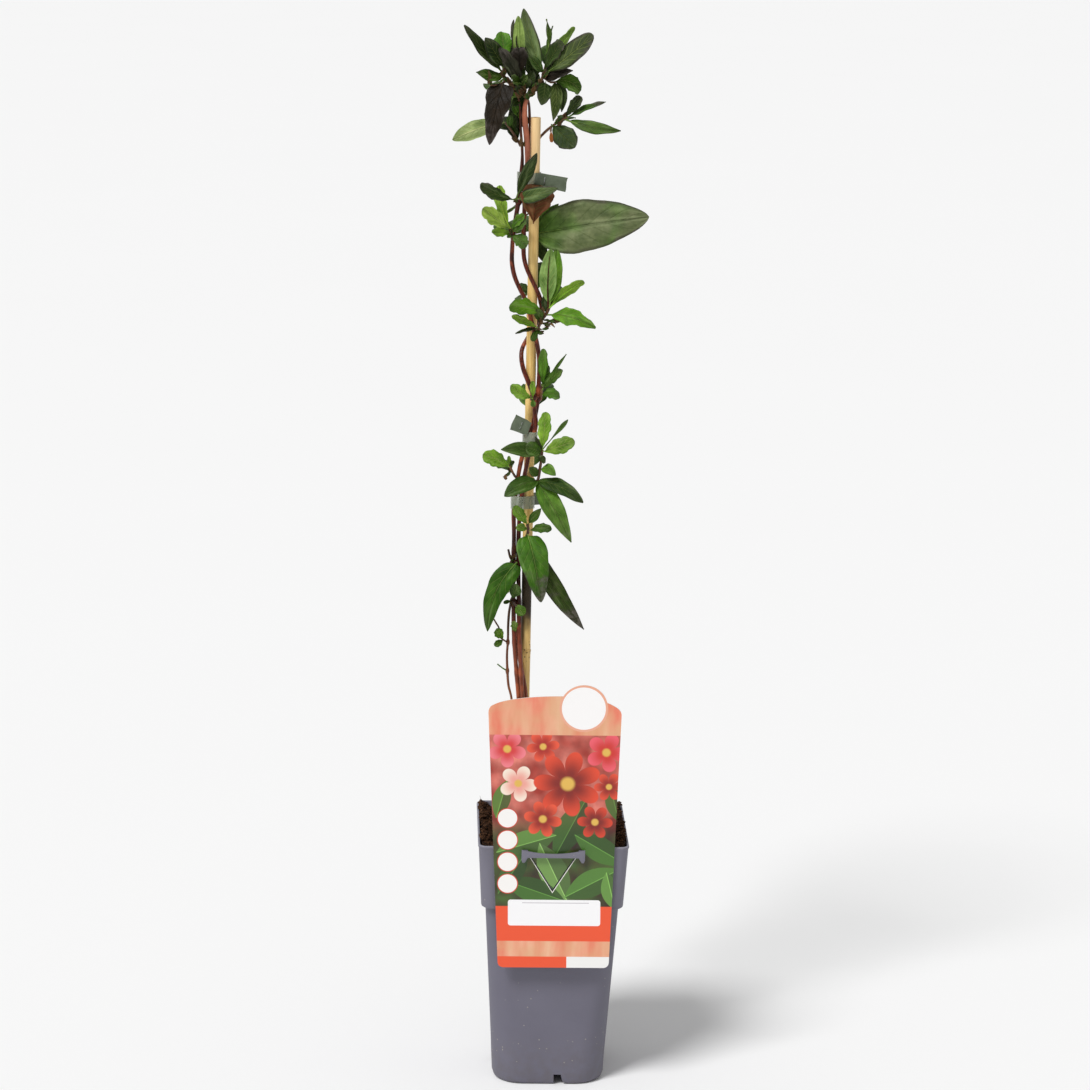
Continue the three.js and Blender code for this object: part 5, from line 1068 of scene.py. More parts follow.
def bark_finish(name, dark, red, light, crown):
    """Young bark with streaks along the stem: lighter at its foot, painted dark where the low leaves shade
    it, and with a colour of its own above the upper tie that turns brown in the crown."""
    own = Finish(name, Specular_IOR_Level=0.3)
    height = own.height()
    fibres = own.fibres(1500, 40, 2.6)
    patches = own.mottled(90, 4, 2.6)
    colour = own.blend(fibres, dark, red)
    colour = own.blend(patches.rise(0.55, 0.95) * 0.6, colour, light)
    colour = own.blend(height.rise(*BARK_FOOT) * 0.25, colour, (190, 110, 76))
    colour = own.blend(height.rise(*CROWN_BARK) * (patches * 0.4 + 0.35), colour, crown)
    colour = own.blend(height.rise(*BROWN_BARK) * 0.8, colour, (96, 68, 48))
    # painted shade on the stems where the low leaves hang over them
    colour = own.tint(colour, (110, 96, 96), height.rise(*BARK_SHADE_FROM) * height.rise(*BARK_SHADE_TO) * 0.7)
    return own.apply(Base_Color=colour, Roughness=patches * 0.25 + 0.22,
                     Normal=own.relief(900, 0.00015, fibres))


def leaf_finish(name, gloss, sheen, stain, groove_shade, groove_shading, raised, roughness):
    """A face of the leaves. Each leaf carries its own tone, its marks and the places on its blade."""
    own = Finish(name, Specular_IOR_Level=gloss)
    tone, _, bloom_and_sheen = own.carried("tone")
    margin_stain, tip_stain, pale_ribs = own.parts(own.carried("marks")[1])
    blade = own.carried("blade")[1]
    u, t, _ = own.parts(blade)
    x, _, z = own.parts(own.place)
    patches, flecks = own.mottled(110, 5, 2.4), own.mottled(420, 4, 3)

    # a grey veil towards the tip: partly the leaf's waxy bloom and partly a painted reflection, which also
    # sets the painted sheen
    dull = bloom_and_sheen * own.mottled(38, 2, 2.6).rise(-0.2, 0.7) * t.rise(0.02, 0.3)
    colour = own.blend(dull, tone, (138, 144, 106))
    colour = own.tint(colour, own.blend(patches, (164, 180, 150), (255, 255, 250)))
    # painted shade and sheen: streaks along the blade darken it, and the brightest of them get a painted
    # sheen
    stretched = own.step("CombineXYZ", [u * 2.2, t * 1.3, (x + z) * 14])
    shade_bands = own.mottled(1, 3, 4, stretched)
    colour = own.tint(colour, own.blend(shade_bands, (204, 210, 196), (255, 255, 255)))
    bloomed = own.reckon("MINIMUM", bloom_and_sheen * 12, 1)
    colour = own.blend(shade_bands.rise(0.62, 1) * sheen * bloomed, colour, (176, 190, 140))
    colour = own.tint(colour, (176, 186, 170), flecks * 0.3)

    edge = (patches * 0.12 + margin_stain * 0.16 + abs(u)).rise(1, 1.16)
    tip = (patches * 0.5 + tip_stain * 0.14 + t).rise(0.86, 1.34)
    stained = (edge * margin_stain + tip * tip_stain).clamped() * stain
    stain_colour = own.blend(tip * flecks.rise(-0.2, 0.9), (38, 34, 26), (96, 88, 84))
    colour = own.blend(stained, colour, stain_colour)

    midrib, side_veins = own.effect("leaf veins", Blade=blade, Pairs=VEIN_PAIRS, Slant=VEIN_SLANT)
    # painted shade in the sunken side veins
    colour = own.tint(colour, groove_shade, side_veins * groove_shading)
    # painted shade in the crease along the midrib
    colour = own.tint(colour, (170, 180, 160), abs(u).rise(0.16, 0) * 0.5)
    pale = own.reckon("MAXIMUM", midrib, side_veins * 0.6) * pale_ribs
    colour = own.blend(pale, colour, (200, 218, 122))
    height = own.mottled(1500, 2, 2) * 0.35 + (midrib + side_veins * 0.35) * raised
    return own.apply(Base_Color=colour, Roughness=patches * 0.2 + roughness,
                     Normal=own.relief(1800, 0.00026, height))


def film_finish(name, colour, alpha):
    """Soft plastic film, with lighter patches painted on as sheen."""
    own = Finish(name, Alpha=alpha, Roughness=0.28, Specular_IOR_Level=0.35)
    # painted sheen: lighter mottled patches on the film
    sheen_patches = own.blend(own.mottled(160, 2, 2.4), colour, [c + 18 for c in colour])
    return own.apply(Base_Color=sheen_patches, Normal=own.relief(140, 0.0004))


def plain_finish(name, scale, detail, contrast, dark, light, spread, roughness, **sockets):
    """One colour and gloss, with faint patches."""
    own = Finish(name, **sockets)
    patches = own.mottled(scale, detail, contrast)
    return own.apply(Base_Color=own.blend(patches, dark, light), Roughness=patches * spread + roughness)


# Blossoms printed on the label: (centre x, centre z, radius, petals, turn, outer colour, inner colour).
BLOSSOMS = [
    (-34, 266, 14, 5, 0.3, (240, 130, 140), (214, 60, 60)),
    (-8, 268, 12, 6, 0.9, (236, 88, 58), (172, 42, 30)),
    (38, 264, 15, 5, 0.1, (238, 96, 110), (206, 52, 44)),
    (-26, 240, 14, 5, 1.4, (247, 232, 214), (238, 164, 150)),
    (40, 238, 11, 6, 1.0, (228, 80, 52), (150, 38, 26)),
    (10, 240, 25, 7, 0.5, (226, 74, 44), (132, 32, 22)),
    (-8, 213, 14, 6, 0.2, (234, 88, 56), (150, 38, 26)),
    (30, 211, 13, 6, 1.1, (214, 66, 40), (128, 32, 24)),
]

# Printed leaves: (centre x, centre z, length, width, turn, colour).
PRINTED_LEAVES = [
    (-38, 228, 30, 13, 1.3, (78, 126, 44)), (44, 226, 30, 13, 1.8, (64, 104, 38)),
    (12, 206, 52, 20, 1.1, (60, 98, 36)), (-20, 194, 46, 20, 0.3, (98, 142, 62)),
    (34, 190, 44, 19, 2.6, (72, 116, 42)), (0, 172, 50, 21, 2.0, (116, 156, 80)),
    (28, 164, 46, 20, 0.5, (84, 130, 52)), (-14, 158, 48, 19, 2.8, (66, 110, 38)),
    (42, 158, 30, 14, 1.8, (104, 150, 66)), (-30, 172, 40, 16, 1.0, (60, 98, 38)),
]


def flower_print(own, x, z):
    """The picture on the label: plain leaves and blossoms on a blurred ground, red above and green below."""
    blur = own.mottled(55, 1, 3)
    low = own.blend(blur, (30, 30, 20), (70, 104, 42))
    high = own.blend(blur, (170, 50, 36), (244, 140, 124))
    picture = own.blend(z.rise(196, 226), low, high)
    picture = own.blend(own.mottled(120, 3, 2.4) * 0.45, picture, (84, 36, 26))
    for centre_x, centre_z, length, width, turn, colour in PRINTED_LEAVES:
        mask, rib, half = own.effect("printed leaf", X=x, Z=z, Centre_X=centre_x, Centre_Z=centre_z,
                                     Length=length, Width=width, Turn=turn)
        blade = own.blend(half, [c * 0.72 for c in colour], colour)
        blade = own.blend(rib * 0.6, blade, [min(255, c * 1.45 + 20) for c in colour])
        picture = own.blend(mask * 0.92, picture, blade)
    for centre_x, centre_z, radius, petals, turn, outer, inner in BLOSSOMS:
        mask, rim, heart = own.effect("printed blossom", X=x, Z=z, Centre_X=centre_x, Centre_Z=centre_z,
                                      Radius=radius, Petals=petals, Turn=turn)
        petal = own.blend(heart, own.blend(rim, inner, outer), (226, 182, 84))
        picture = own.blend(mask, picture, petal)
    return picture


def label_finish():
    """The printed face: a mottled salmon head, a plain flower print, and an orange foot with white panels."""
    own = Finish("printed label face", Roughness=0.38)
    x_in_metres, _, z_in_metres = own.parts(own.place)
    across, z = x_in_metres / MM, z_in_metres / MM
    x = across - (z - LABEL_FOOT) * LABEL_LEAN - LABEL_CENTRE

    def box(left, right, foot, top, corner=0):
        return own.effect("printed box", X=x, Z=z, Left=left, Right=right, Foot=foot, Top=top,
                          Corner=corner)[0]

    def disc(centre_x, centre_z, radius):
        return own.effect("printed disc", X=x, Z=z, Centre_X=centre_x, Centre_Z=centre_z, Radius=radius)[0]

    salmon = own.blend(own.fibres(75, 18, 3.2), (232, 122, 96), (240, 186, 152))
    salmon = own.blend(own.mottled(60, 2, 3) * 0.55, salmon, (218, 172, 126))
    face = own.blend(z.rise(276.6, 277), flower_print(own, x, z), salmon)
    face = own.blend(z.rise(146.2, 145.8), face, (236, 84, 44))
    face = own.blend(box(-60, 60, 107, 119), face, salmon)
    face = own.blend(box(9.7, 60, 90, 107), face, (240, 239, 236))
    face = own.blend(box(-33.4, 34.4, 131, 151, 2), face, (247, 246, 247))
    face = own.blend(box(-23, 26, 148.3, 148.9), face, (196, 190, 196))
    for centre_z in (213.5, 196.8, 180, 163.3):
        face = own.blend(disc(-33.7, centre_z, 7.7), face, (206, 70, 50))
        face = own.blend(disc(-33.7, centre_z, 7), face, (246, 243, 240))
    # painted highlight: a thin pale line along the lower edge of the slit, where the tongue's cut edge
    # catches the light
    tongue = abs(across - BAR_CENTRE) * ((SLIT_TOP - SLIT_FOOT) / SLIT_HALF)
    below = z - SLIT_FOOT - tongue
    rim = below.rise(-0.95, -0.75) * below.rise(0.5, 0.2) * z.rise(SLIT_TOP + 0.3, SLIT_TOP)
    face = own.blend(rim, face, (236, 234, 226))
    medal = MEDAL_X - LABEL_CENTRE - LABEL_LEAN * (MEDAL_Z - LABEL_FOOT)
    face = own.blend(disc(medal, MEDAL_Z, MEDAL_RADIUS + 0.1), face, (234, 170, 142))
    face = own.blend(disc(medal, MEDAL_Z, MEDAL_RADIUS - 1.6), face, (248, 246, 245))
    return own.apply(Base_Color=face, Normal=own.relief(120, 0.00008))


POT_PLASTIC = pot_finish()
COMPOST = soil_finish("compost", (22, 15, 11), (62, 42, 30), (112, 78, 56))
COMPOST_BITS = soil_finish("compost bits", (40, 26, 18), (100, 66, 44), (156, 112, 78))
BAMBOO = bamboo_finish()
STEM_BARK = bark_finish("red stem bark", (26, 12, 7), (118, 44, 22), (192, 98, 56), (72, 44, 32))
BRIGHT_BARK = bark_finish("bright stem bark", (26, 12, 7), (118, 44, 22), (192, 98, 56), (206, 126, 96))
TWIG_BARK = bark_finish("young twig bark", (56, 38, 24), (108, 70, 46), (140, 100, 68), (100, 70, 48))
LEAF_UPPER = leaf_finish("leaf upper face", 0.12, 0.13, 0.85, (216, 224, 206), 0.35, -2.4, 0.28)
LEAF_UNDER = leaf_finish("leaf under face", 0.08, 0.05, 0.4, (208, 216, 200), 0.5, 2.4, 0.5)
FILM_LOOP = film_finish("clear film loop", (150, 158, 138), 0.5)
FILM_TAIL = film_finish("doubled film tail", (80, 90, 70), 0.96)
STAPLE_WIRE = plain_finish("bright staple wire", 900, 3, 1.5, (128, 130, 126), (176, 178, 174), 0.2, 0.3,
                           Metallic=1)
CARD = plain_finish("white card", 300, 3, 1, (226, 224, 216), (242, 240, 234), 0.1, 0.5)
LABEL_PRINT = label_finish()


# ---- pot ----


def square_ring(half, corner, z, steps=8):
    """A square with round corners, anticlockwise seen from above."""
    ring = []
    reach = (half - corner) * math.sqrt(2)
    for quarter in range(4):
        middle = math.pi / 2 * (quarter + 0.5)
        for step in range(steps + 1):
            angle = math.pi / 2 * (quarter + step / steps)
            ring.append((reach * math.cos(middle) + corner * math.cos(angle),
                         reach * math.sin(middle) + corner * math.sin(angle), z))
    return ring


def round_ring(x, y, z, radius, count):
    turns = [2 * math.pi * i / count for i in range(count)]
    return [(x + radius * math.cos(a), y + radius * math.sin(a), z) for a in turns]


def upright_plate(name, outline, front, back):
    """A body with one (x, z) outline from front to back."""
    ends = [[(x, y, z) for x, z in outline] for y in (front, back)]
    return pull_up(round_blank(name, len(outline)), ends)


def wall_at(z):
    """Half the width of the pot's wall at a height, the radius of its corners, and the height."""
    if z < COLLAR_FOOT_Z:
        low, high = (BODY_FOOT_HALF, BASE_CORNER, BODY_FOOT_Z), (BODY_TOP_HALF, BODY_CORNER, COLLAR_FOOT_Z)
    else:
        low, high = (COLLAR_FOOT_HALF, BODY_CORNER, COLLAR_FOOT_Z), (RIM_HALF, RIM_CORNER, POT_HEIGHT)
    share = (z - low[2]) / (high[2] - low[2])
    half, corner = (low[i] + (high[i] - low[i]) * share for i in (0, 1))
    return half, corner, z


def channel_bar(grow, foot, reach, turned):
    """A bar with the section of a drain channel, from front to back or from side to side. Its top and both
    its sides can be grown, and its foot moved."""
    section = []
    for x, z in CHANNEL:
        high = z + (grow if z > 7 else 0)
        section.append((x + (grow if x > 9 else -grow), high if z else foot))
    ends = [[(x, y, z) for x, z in section] for y in (-reach, reach)]
    if turned:
        ends = [[(-y, x, z) for x, y, z in end] for end in ends]
    return pull_up(round_blank("channel", len(section)), ends)


def make_cup():
    """The pot's shell, drawn up the outside and down the inside, with the channels under its floor."""
    wall = POT_WALL
    outside = [
        (BASE_HALF, BASE_CORNER - 3, 0),
        (BASE_HALF + 1.3, BASE_CORNER - 2, 0.3),
        (BASE_HALF + 2.2, BASE_CORNER - 1, 1),
        (BODY_FOOT_HALF - 0.3, BASE_CORNER, 4.5),
        *[wall_at(z) for z in (BODY_FOOT_Z, 45, 75, 105, 130, COLLAR_FOOT_Z - 1)],
        (BODY_TOP_HALF + 0.2, BODY_CORNER, COLLAR_FOOT_Z - 0.3),
        (COLLAR_FOOT_HALF - 0.7, BODY_CORNER, COLLAR_FOOT_Z),
        (COLLAR_FOOT_HALF - 0.1, BODY_CORNER, COLLAR_FOOT_Z + 0.6),
        (COLLAR_FOOT_HALF + 0.1, BODY_CORNER, COLLAR_FOOT_Z + 1.6),
        *[wall_at(z) for z in (155, 172, POT_HEIGHT - 2.6)],
        (RIM_HALF + 0.2, RIM_CORNER, POT_HEIGHT - 1.9),
        (RIM_HALF + 0.35, RIM_CORNER, POT_HEIGHT - 1.1),
        (RIM_HALF + 0.2, RIM_CORNER, POT_HEIGHT - 0.3),
        (RIM_HALF - 0.3, RIM_CORNER - 0.4, POT_HEIGHT),
    ]
    inside = [
        (RIM_HALF - wall + 0.3, RIM_CORNER - wall + 0.2, POT_HEIGHT),
        (RIM_HALF - wall, RIM_CORNER - wall, POT_HEIGHT - 0.5),
        (COLLAR_FOOT_HALF - wall, BODY_CORNER - wall, COLLAR_FOOT_Z + wall + 1.6),
        (BODY_TOP_HALF - wall, BODY_CORNER - wall, COLLAR_FOOT_Z + wall),
        (BODY_FOOT_HALF - wall, BASE_CORNER - wall, BODY_FOOT_Z),
        (BODY_FOOT_HALF - wall - 0.6, BASE_CORNER - wall, POT_FLOOR + 2.4),
        (BASE_HALF - wall, BASE_CORNER - 4, POT_FLOOR),
    ]
    rings = [square_ring(*level) for level in outside + inside]
    cup = pull_up(round_blank("cup", len(rings[0])), rings)
    for turned in (False, True):
        weld_on(cup, channel_bar(wall, 0.02, BASE_HALF - wall, turned))
    for turned in (False, True):
        cut_out(cup, channel_bar(0, -1, RIM_HALF, turned))
    return cup


def post_section(side, grow=0):
    """The section of a post of the bar, or of the slot round it."""
    x, wide, high = BAR_CENTRE + side * POST_X, POST_HALF_WIDE + grow, POST_HALF_HIGH + grow
    return [(x + a * wide, POST_Z + b * high) for a, b in ((-1, -1), (1, -1), (1, 1), (-1, 1))]


def make_bar():
    """The moulded bar the label hangs on: a dipped strip with a barb at each end, on two posts."""
    dip = [(BAR_HALF * s, BAR_LOW + 3 * s * s) for s in np.linspace(-1, 1, 13)]
    barb = [(BAR_HALF, 182.7), (BAR_HALF - 0.7, 180.6), (BAR_HALF - 2.4, 180.6), (BAR_HALF - 4.6, 184.3)]
    outline = [(BAR_CENTRE + x, z) for x, z in dip + barb + [(-x, z) for x, z in reversed(barb)]]
    bar = upright_plate("bar", outline, BAR_FRONT, BAR_FRONT + BAR_THICK)
    apply_with(bar, "BEVEL", width=0.3 * MM, segments=2, limit_method="ANGLE", angle_limit=math.radians(50))
    for side in (-1, 1):
        weld_on(bar, upright_plate("post", post_section(side), BAR_FRONT + 0.5, -RIM_HALF + 0.7))
    return bar


def make_pot():
    cup = make_cup()
    weld_on(cup, make_bar())
    pot = gather("nursery_pot", [cup])
    smooth(pot, 32)
    settle(pot, "pot", "pot_plastic", POT_PLASTIC)


# ---- soil ----


def soil_height(x, y):
    """The soil's surface, which rises in lumps to the left and right walls and is banked up against them."""
    edge = max(abs(x) - SOIL_DISH, 0) / (RIM_HALF - SOIL_DISH)
    lumps = math.sin(0.31 * x + 1.3) * math.cos(0.27 * y - 0.6) + 0.7 * math.sin(0.73 * x - 0.52 * y)
    return SOIL_TOP + SOIL_HEAP * edge ** 1.5 + 1.3 * lumps + 2.2 * min(1, max(0, abs(x) - 34) / 14)


def soil_grain(x, y):
    grain = math.sin(1.9 * x + 0.7 * y) * math.sin(1.3 * y - 0.9 * x + 2)
    return grain + 0.6 * math.sin(3.1 * x - 2.3 * y + 1) * math.cos(2.7 * y + 0.4)


def into_square(a, b, half, corner):
    """Where the point (a, b) of a square of -1 to 1 stands in a square with round corners."""
    x, y = a * half, b * half
    dx, dy = abs(x) - (half - corner), abs(y) - (half - corner)
    if dx > 0 and dy > 0:
        pull = max(dx, dy) / math.hypot(dx, dy)
        x = math.copysign(half - corner + dx * pull, x)
        y = math.copysign(half - corner + dy * pull, y)
    return x, y


def fill_pot(rng):
    """The compost, drawn up inside the pot, with holes for the cane and the stems."""
    wall = POT_WALL + SOIL_PLAY
    levels = [
        (BASE_HALF - POT_WALL - 1, BASE_CORNER - 4, POT_FLOOR + SOIL_PLAY),
        (BODY_FOOT_HALF - POT_WALL - 1, BASE_CORNER - wall, POT_FLOOR + 2.4),
        (BODY_FOOT_HALF - wall, BASE_CORNER - wall, BODY_FOOT_Z),
        (BODY_TOP_HALF - wall, BODY_CORNER - wall, COLLAR_FOOT_Z + wall),
        (COLLAR_FOOT_HALF - wall, BODY_CORNER - wall, COLLAR_FOOT_Z + wall + 1.6),
    ]
    put_all_down()
    bpy.ops.mesh.primitive_grid_add(x_subdivisions=SOIL_GRID, y_subdivisions=SOIL_GRID, size=2)
    blank = bpy.context.object
    spots = [(v.co.x, v.co.y) for v in blank.data.vertices]
    rings = [[(*into_square(a, b, half, corner), z) for a, b in spots] for half, corner, z in levels]
    half, top = wall_at(SOIL_TOP)[0] - wall, []
    for a, b in spots:
        x, y = into_square(a, b, half, SOIL_CORNER)
        inner = 1 - max(abs(a), abs(b)) ** 8
        high = soil_height(x, y) + 0.75 * soil_grain(x, y) * inner
        top.append((x, y, high + rng.uniform(-0.5, 0.5) * inner))
    body = pull_up(blank, rings + [top])
    for turned in (False, True):
        cut_out(body, channel_bar(wall, -1, RIM_HALF, turned))
    holes = [(CANE_X, CANE_Y, CANE_RADIUS)] + [(*route[0][:2], radius) for radius, route in STEMS.values()]
    for x, y, radius in holes:
        rings = [round_ring(x, y, z, radius + SOIL_PLAY, 16) for z in (HOLE_FOOT, HOLE_TOP)]
        cut_out(body, pull_up(round_blank("hole", 16), rings))
    soil = gather("compost_fill", [body])
    smooth(soil, 60)
    settle(soil, "soil", "soil", COMPOST)


def make_lumps(rng):
    """A few rough lumps that all crumbs are copies of."""
    lumps = []
    for _ in range(4):
        put_all_down()
        bpy.ops.mesh.primitive_ico_sphere_add(subdivisions=1, radius=1)
        lumps.append(bpy.context.object)
        mesh = open_up()
        for vert in mesh.verts:
            vert.co *= rng.uniform(0.65, 1.25)
        close_up()
    return lumps


def place_copy(name, mesh):
    thing = bpy.data.objects.new(name, mesh)
    bpy.context.collection.objects.link(thing)
    return thing


def scatter_crumbs(rng):
    """Crumbs lie all over the compost, and every second one near the left or the right wall."""
    crumbs, lumps = [], make_lumps(rng)
    for number in range(CRUMBS):
        x, y = rng.uniform(-52, 52), rng.uniform(-52, 52)
        if number % 2 == 0:
            x = math.copysign(rng.uniform(40, 53.4), x)
        size = rng.choice((0.5, 0.6, 0.8, 0.9, 1.2, 1.7)) * rng.uniform(0.8, 1.2)
        if abs(x) > 49 and abs(y) > 44:
            continue
        high = soil_height(x, y) + size * 0.25
        if abs(x) > 46:
            high += rng.uniform(0, 2.2) * (abs(x) - 46) / 8
        stretch = Matrix.Diagonal((rng.uniform(0.8, 1.9), rng.uniform(0.7, 1.2), rng.uniform(0.5, 0.9), 1))
        turn = Matrix.Rotation(rng.uniform(0, 6.3), 4, "Z") @ Matrix.Rotation(rng.uniform(-0.6, 0.6), 4, "X")
        place = Matrix.Translation(Vector((x, y, high)) * MM) @ turn @ stretch @ Matrix.Scale(size * MM, 4)
        mesh = rng.choice(lumps).data.copy()
        mesh.transform(place)
        crumbs.append(place_copy("crumb", mesh))
    drop(*lumps)
    settle(gather("compost_crumbs", crumbs), "soil", "soil", COMPOST_BITS)


def scatter_fibres(rng):
    """Thin fibres lie on the compost, a little bent, and never through the pot's wall."""
    fibres = []
    for _ in range(FIBRES):
        x, y = rng.uniform(-51, 51), rng.uniform(-51, 51)
        if rng.random() < 0.35:
            x = math.copysign(rng.uniform(42, 52.5), x)
        turn, length = rng.uniform(0, 6.3), rng.uniform(3, 11)
        run = []
        for step in range(4):
            share = step / 3 - 0.5
            px = max(-53, min(53, x + share * length * math.cos(turn)))
            py = max(-53, min(53, y + share * length * math.sin(turn)))
            high = soil_height(px, py) + 0.9 + rng.uniform(-0.5, 0.9)
            run.append((px, py, high + (0.5 - abs(share)) * 1.2))
            turn += rng.uniform(-0.35, 0.35)
        fibres.append(draw_wire("fibre", run, [0.16, 0.2, 0.17, 0.08], 3))
    settle(gather("compost_fibres", fibres), "soil", "soil", COMPOST_BITS)


def make_soil():
    rng = random.Random(11)
    fill_pot(rng)
    scatter_crumbs(rng)
    scatter_fibres(rng)


# ---- label ----


def bend_to(points, via, end, steps=8):
    """Continues an outline along a bow that is drawn towards a point."""
    start = points[-1]
    for k in range(1, steps + 1):
        t = k / steps
        shares = ((1 - t) ** 2, 2 * t * (1 - t), t * t)
        points.append(tuple(sum(w * p for w, p in zip(shares, ends)) for ends in zip(start, via, end)))


def on_label(x, z):
    """A point of the label, which leans a little to the left."""
    return LABEL_CENTRE + x + LABEL_LEAN * (z - LABEL_FOOT), z


def label_outline():
    """Round the label from its lower left corner, with the medallion rising over its arched top."""
    foot, half, corner, shoulder, wide, arch = LABEL_FOOT, 40.8, 4.5, 295, 47.6, 306
    outline = [on_label(-half + corner, foot), on_label(half - corner, foot)]
    bend_to(outline, on_label(half, foot), on_label(half + 0.2, foot + corner))
    outline.append(on_label(wide + 1.2, shoulder - 3))
    bend_to(outline, on_label(wide + 1.2, shoulder + 0.6), on_label(wide - 2.6, shoulder + 3))
    bend_to(outline, on_label(wide - 6, shoulder + 5.2), on_label(wide - 9.2, shoulder + 6.4))
    for k in range(25):
        angle = 0.27 + (2.6 - 0.27) * k / 24
        outline.append((MEDAL_X + MEDAL_RADIUS * math.cos(angle), MEDAL_Z + MEDAL_RADIUS * math.sin(angle)))
    bend_to(outline, on_label(-14, arch), on_label(-30, arch - 2.7))
    bend_to(outline, on_label(-40.5, arch - 4.4), on_label(-wide + 2.2, shoulder + 3.4))
    bend_to(outline, on_label(-wide, shoulder + 1.6), on_label(-wide, shoulder - 2))
    outline.append(on_label(-half - 0.2, foot + corner))
    bend_to(outline, on_label(-half, foot), outline[0])
    return outline[:-1]


def make_label():
    """The card with its slit, from which the tongue hangs over the bar, and a slot for each post."""
    card = upright_plate("card", label_outline(), LABEL_BACK - LABEL_THICK, LABEL_BACK)
    middle, reach = BAR_CENTRE, SLIT_HALF - SLIT_GAP
    slit = [
        (middle - SLIT_HALF, SLIT_TOP), (middle, SLIT_FOOT), (middle + SLIT_HALF, SLIT_TOP),
        (middle + reach, SLIT_TOP), (middle, SLIT_FOOT + SLIT_GAP * 1.9), (middle - reach, SLIT_TOP),
    ]
    for opening in (slit, post_section(-1, POST_PLAY), post_section(1, POST_PLAY)):
        cut_out(card, upright_plate("opening", opening, LABEL_BACK - 3, LABEL_BACK + 3))
    label = gather("hanging_label", [card])
    settle(label, "label_card", "label_print", CARD, LABEL_PRINT)
    for face in label.data.polygons:
        if face.normal.y < -0.9 and face.center.y < (LABEL_BACK - LABEL_THICK / 2) * MM:
            face.material_index = 1


# ---- cane ----


def make_cane():
    """The cane swells to a ridge at each joint and is hollow at its cut top."""
    stations = [(66, 3.5)]
    for knot in CANE_KNOTS:
        stations += [(knot - 12, 3.66), (knot - 4, 3.72), (knot - 1.6, 3.86), (knot - 0.5, 4.08), (knot, 4.1),
                     (knot + 0.6, 3.7), (knot + 1.1, 3.62), (knot + 1.8, 3.78), (knot + 5, 3.64)]
    top = CANE_TOP
    stations += [(top - 30, 3.6), (top - 0.5, 3.58), (top, 3.4), (top, 1.5), (top - 3, 1.2)]
    rings = [round_ring(CANE_X, CANE_Y, z, radius, 28) for z, radius in stations]
    cane = gather("bamboo_stake", [pull_up(round_blank("cane", 28), rings)])
    smooth(cane, 50)
    settle(cane, "bamboo_cane", "bamboo", BAMBOO)


# ---- stems ----


def up_to_one(value):
    """The value, kept between 0 and 1."""
    return min(1, max(0, value))


def make_stems():
    """The stems swell at the knots. Above the upper tie they change their girth, and they end tapered."""
    rng = random.Random(5)
    joints = [spray.knot[2] for spray in SPRAYS.values() if spray.knot]
    for name, (radius, route) in STEMS.items():
        run = run_curve(route, 2.2)
        swells = [z + rng.uniform(-1, 1) for z in joints]
        phase, radii = rng.uniform(0, 6), []
        for *_, z in run:
            swell = sum(math.exp(-((z - s) / 2.4) ** 2) for s in swells)
            slim = 1 - 0.4 * up_to_one((z - TAPER_FROM) / TAPER_OVER)
            slim *= 1 + (CROWN_GIRTH.get(name, 1) - 1) * up_to_one((z - TIES["upper"]["top"] - 1) / 12)
            radii.append(radius * slim * (1 + 0.05 * math.sin(z / 7 + phase) + 0.14 * min(1, swell)))
        stem = gather(name.replace("stem_", "vine_"), [draw_wire(name, run, radii, 12)])
        smooth(stem, 60)
        bark = {"stem_thin": TWIG_BARK, "stem_right": BRIGHT_BARK}.get(name, STEM_BARK)
        settle(stem, name, "stem_bark", bark)


# ---- ties and staples ----


def tight_round(points):
    """The outline of a film pulled tight round points."""
    points = sorted(points)
    sides = []
    for line in (points, points[::-1]):
        chain = []
        for p in line:
            while len(chain) > 1:
                (ox, oy), (ax, ay) = chain[-2:]
                if (ax - ox) * (p[1] - oy) - (ay - oy) * (p[0] - ox) > 1e-6:
                    break
                chain.pop()
            chain.append(p)
        sides += chain[:-1]
    return sides


def even_ring(outline, count):
    """The same closed outline with evenly spaced points."""
    spots = np.array(outline + outline[:1])
    steps = np.linalg.norm(np.diff(spots, axis=0), axis=1)
    along = np.concatenate([[0], np.cumsum(steps)])
    stations = np.linspace(0, along[-1], count, endpoint=False)
    return [tuple(float(np.interp(s, along, spots[:, i])) for i in (0, 1)) for s in stations]


def stem_at(route, z):
    """The place of a stem, seen from above, at a height."""
    upper = next(i for i, point in enumerate(route) if point[2] > z)
    a, b = route[upper - 1], route[upper]
    share = (z - a[2]) / (b[2] - a[2])
    return a[0] + (b[0] - a[0]) * share, a[1] + (b[1] - a[1]) * share


def on_tail(tie, x, y, z):
    """A point of the tail, laid out along +X from its root, in the pot's frame."""
    turn = Matrix.Rotation(tie["turn"], 4, "Z") @ Matrix.Rotation(tie["dip"], 4, "Y")
    return tuple(Matrix.Translation(tie["root"]) @ turn @ Vector((x, y, z)))


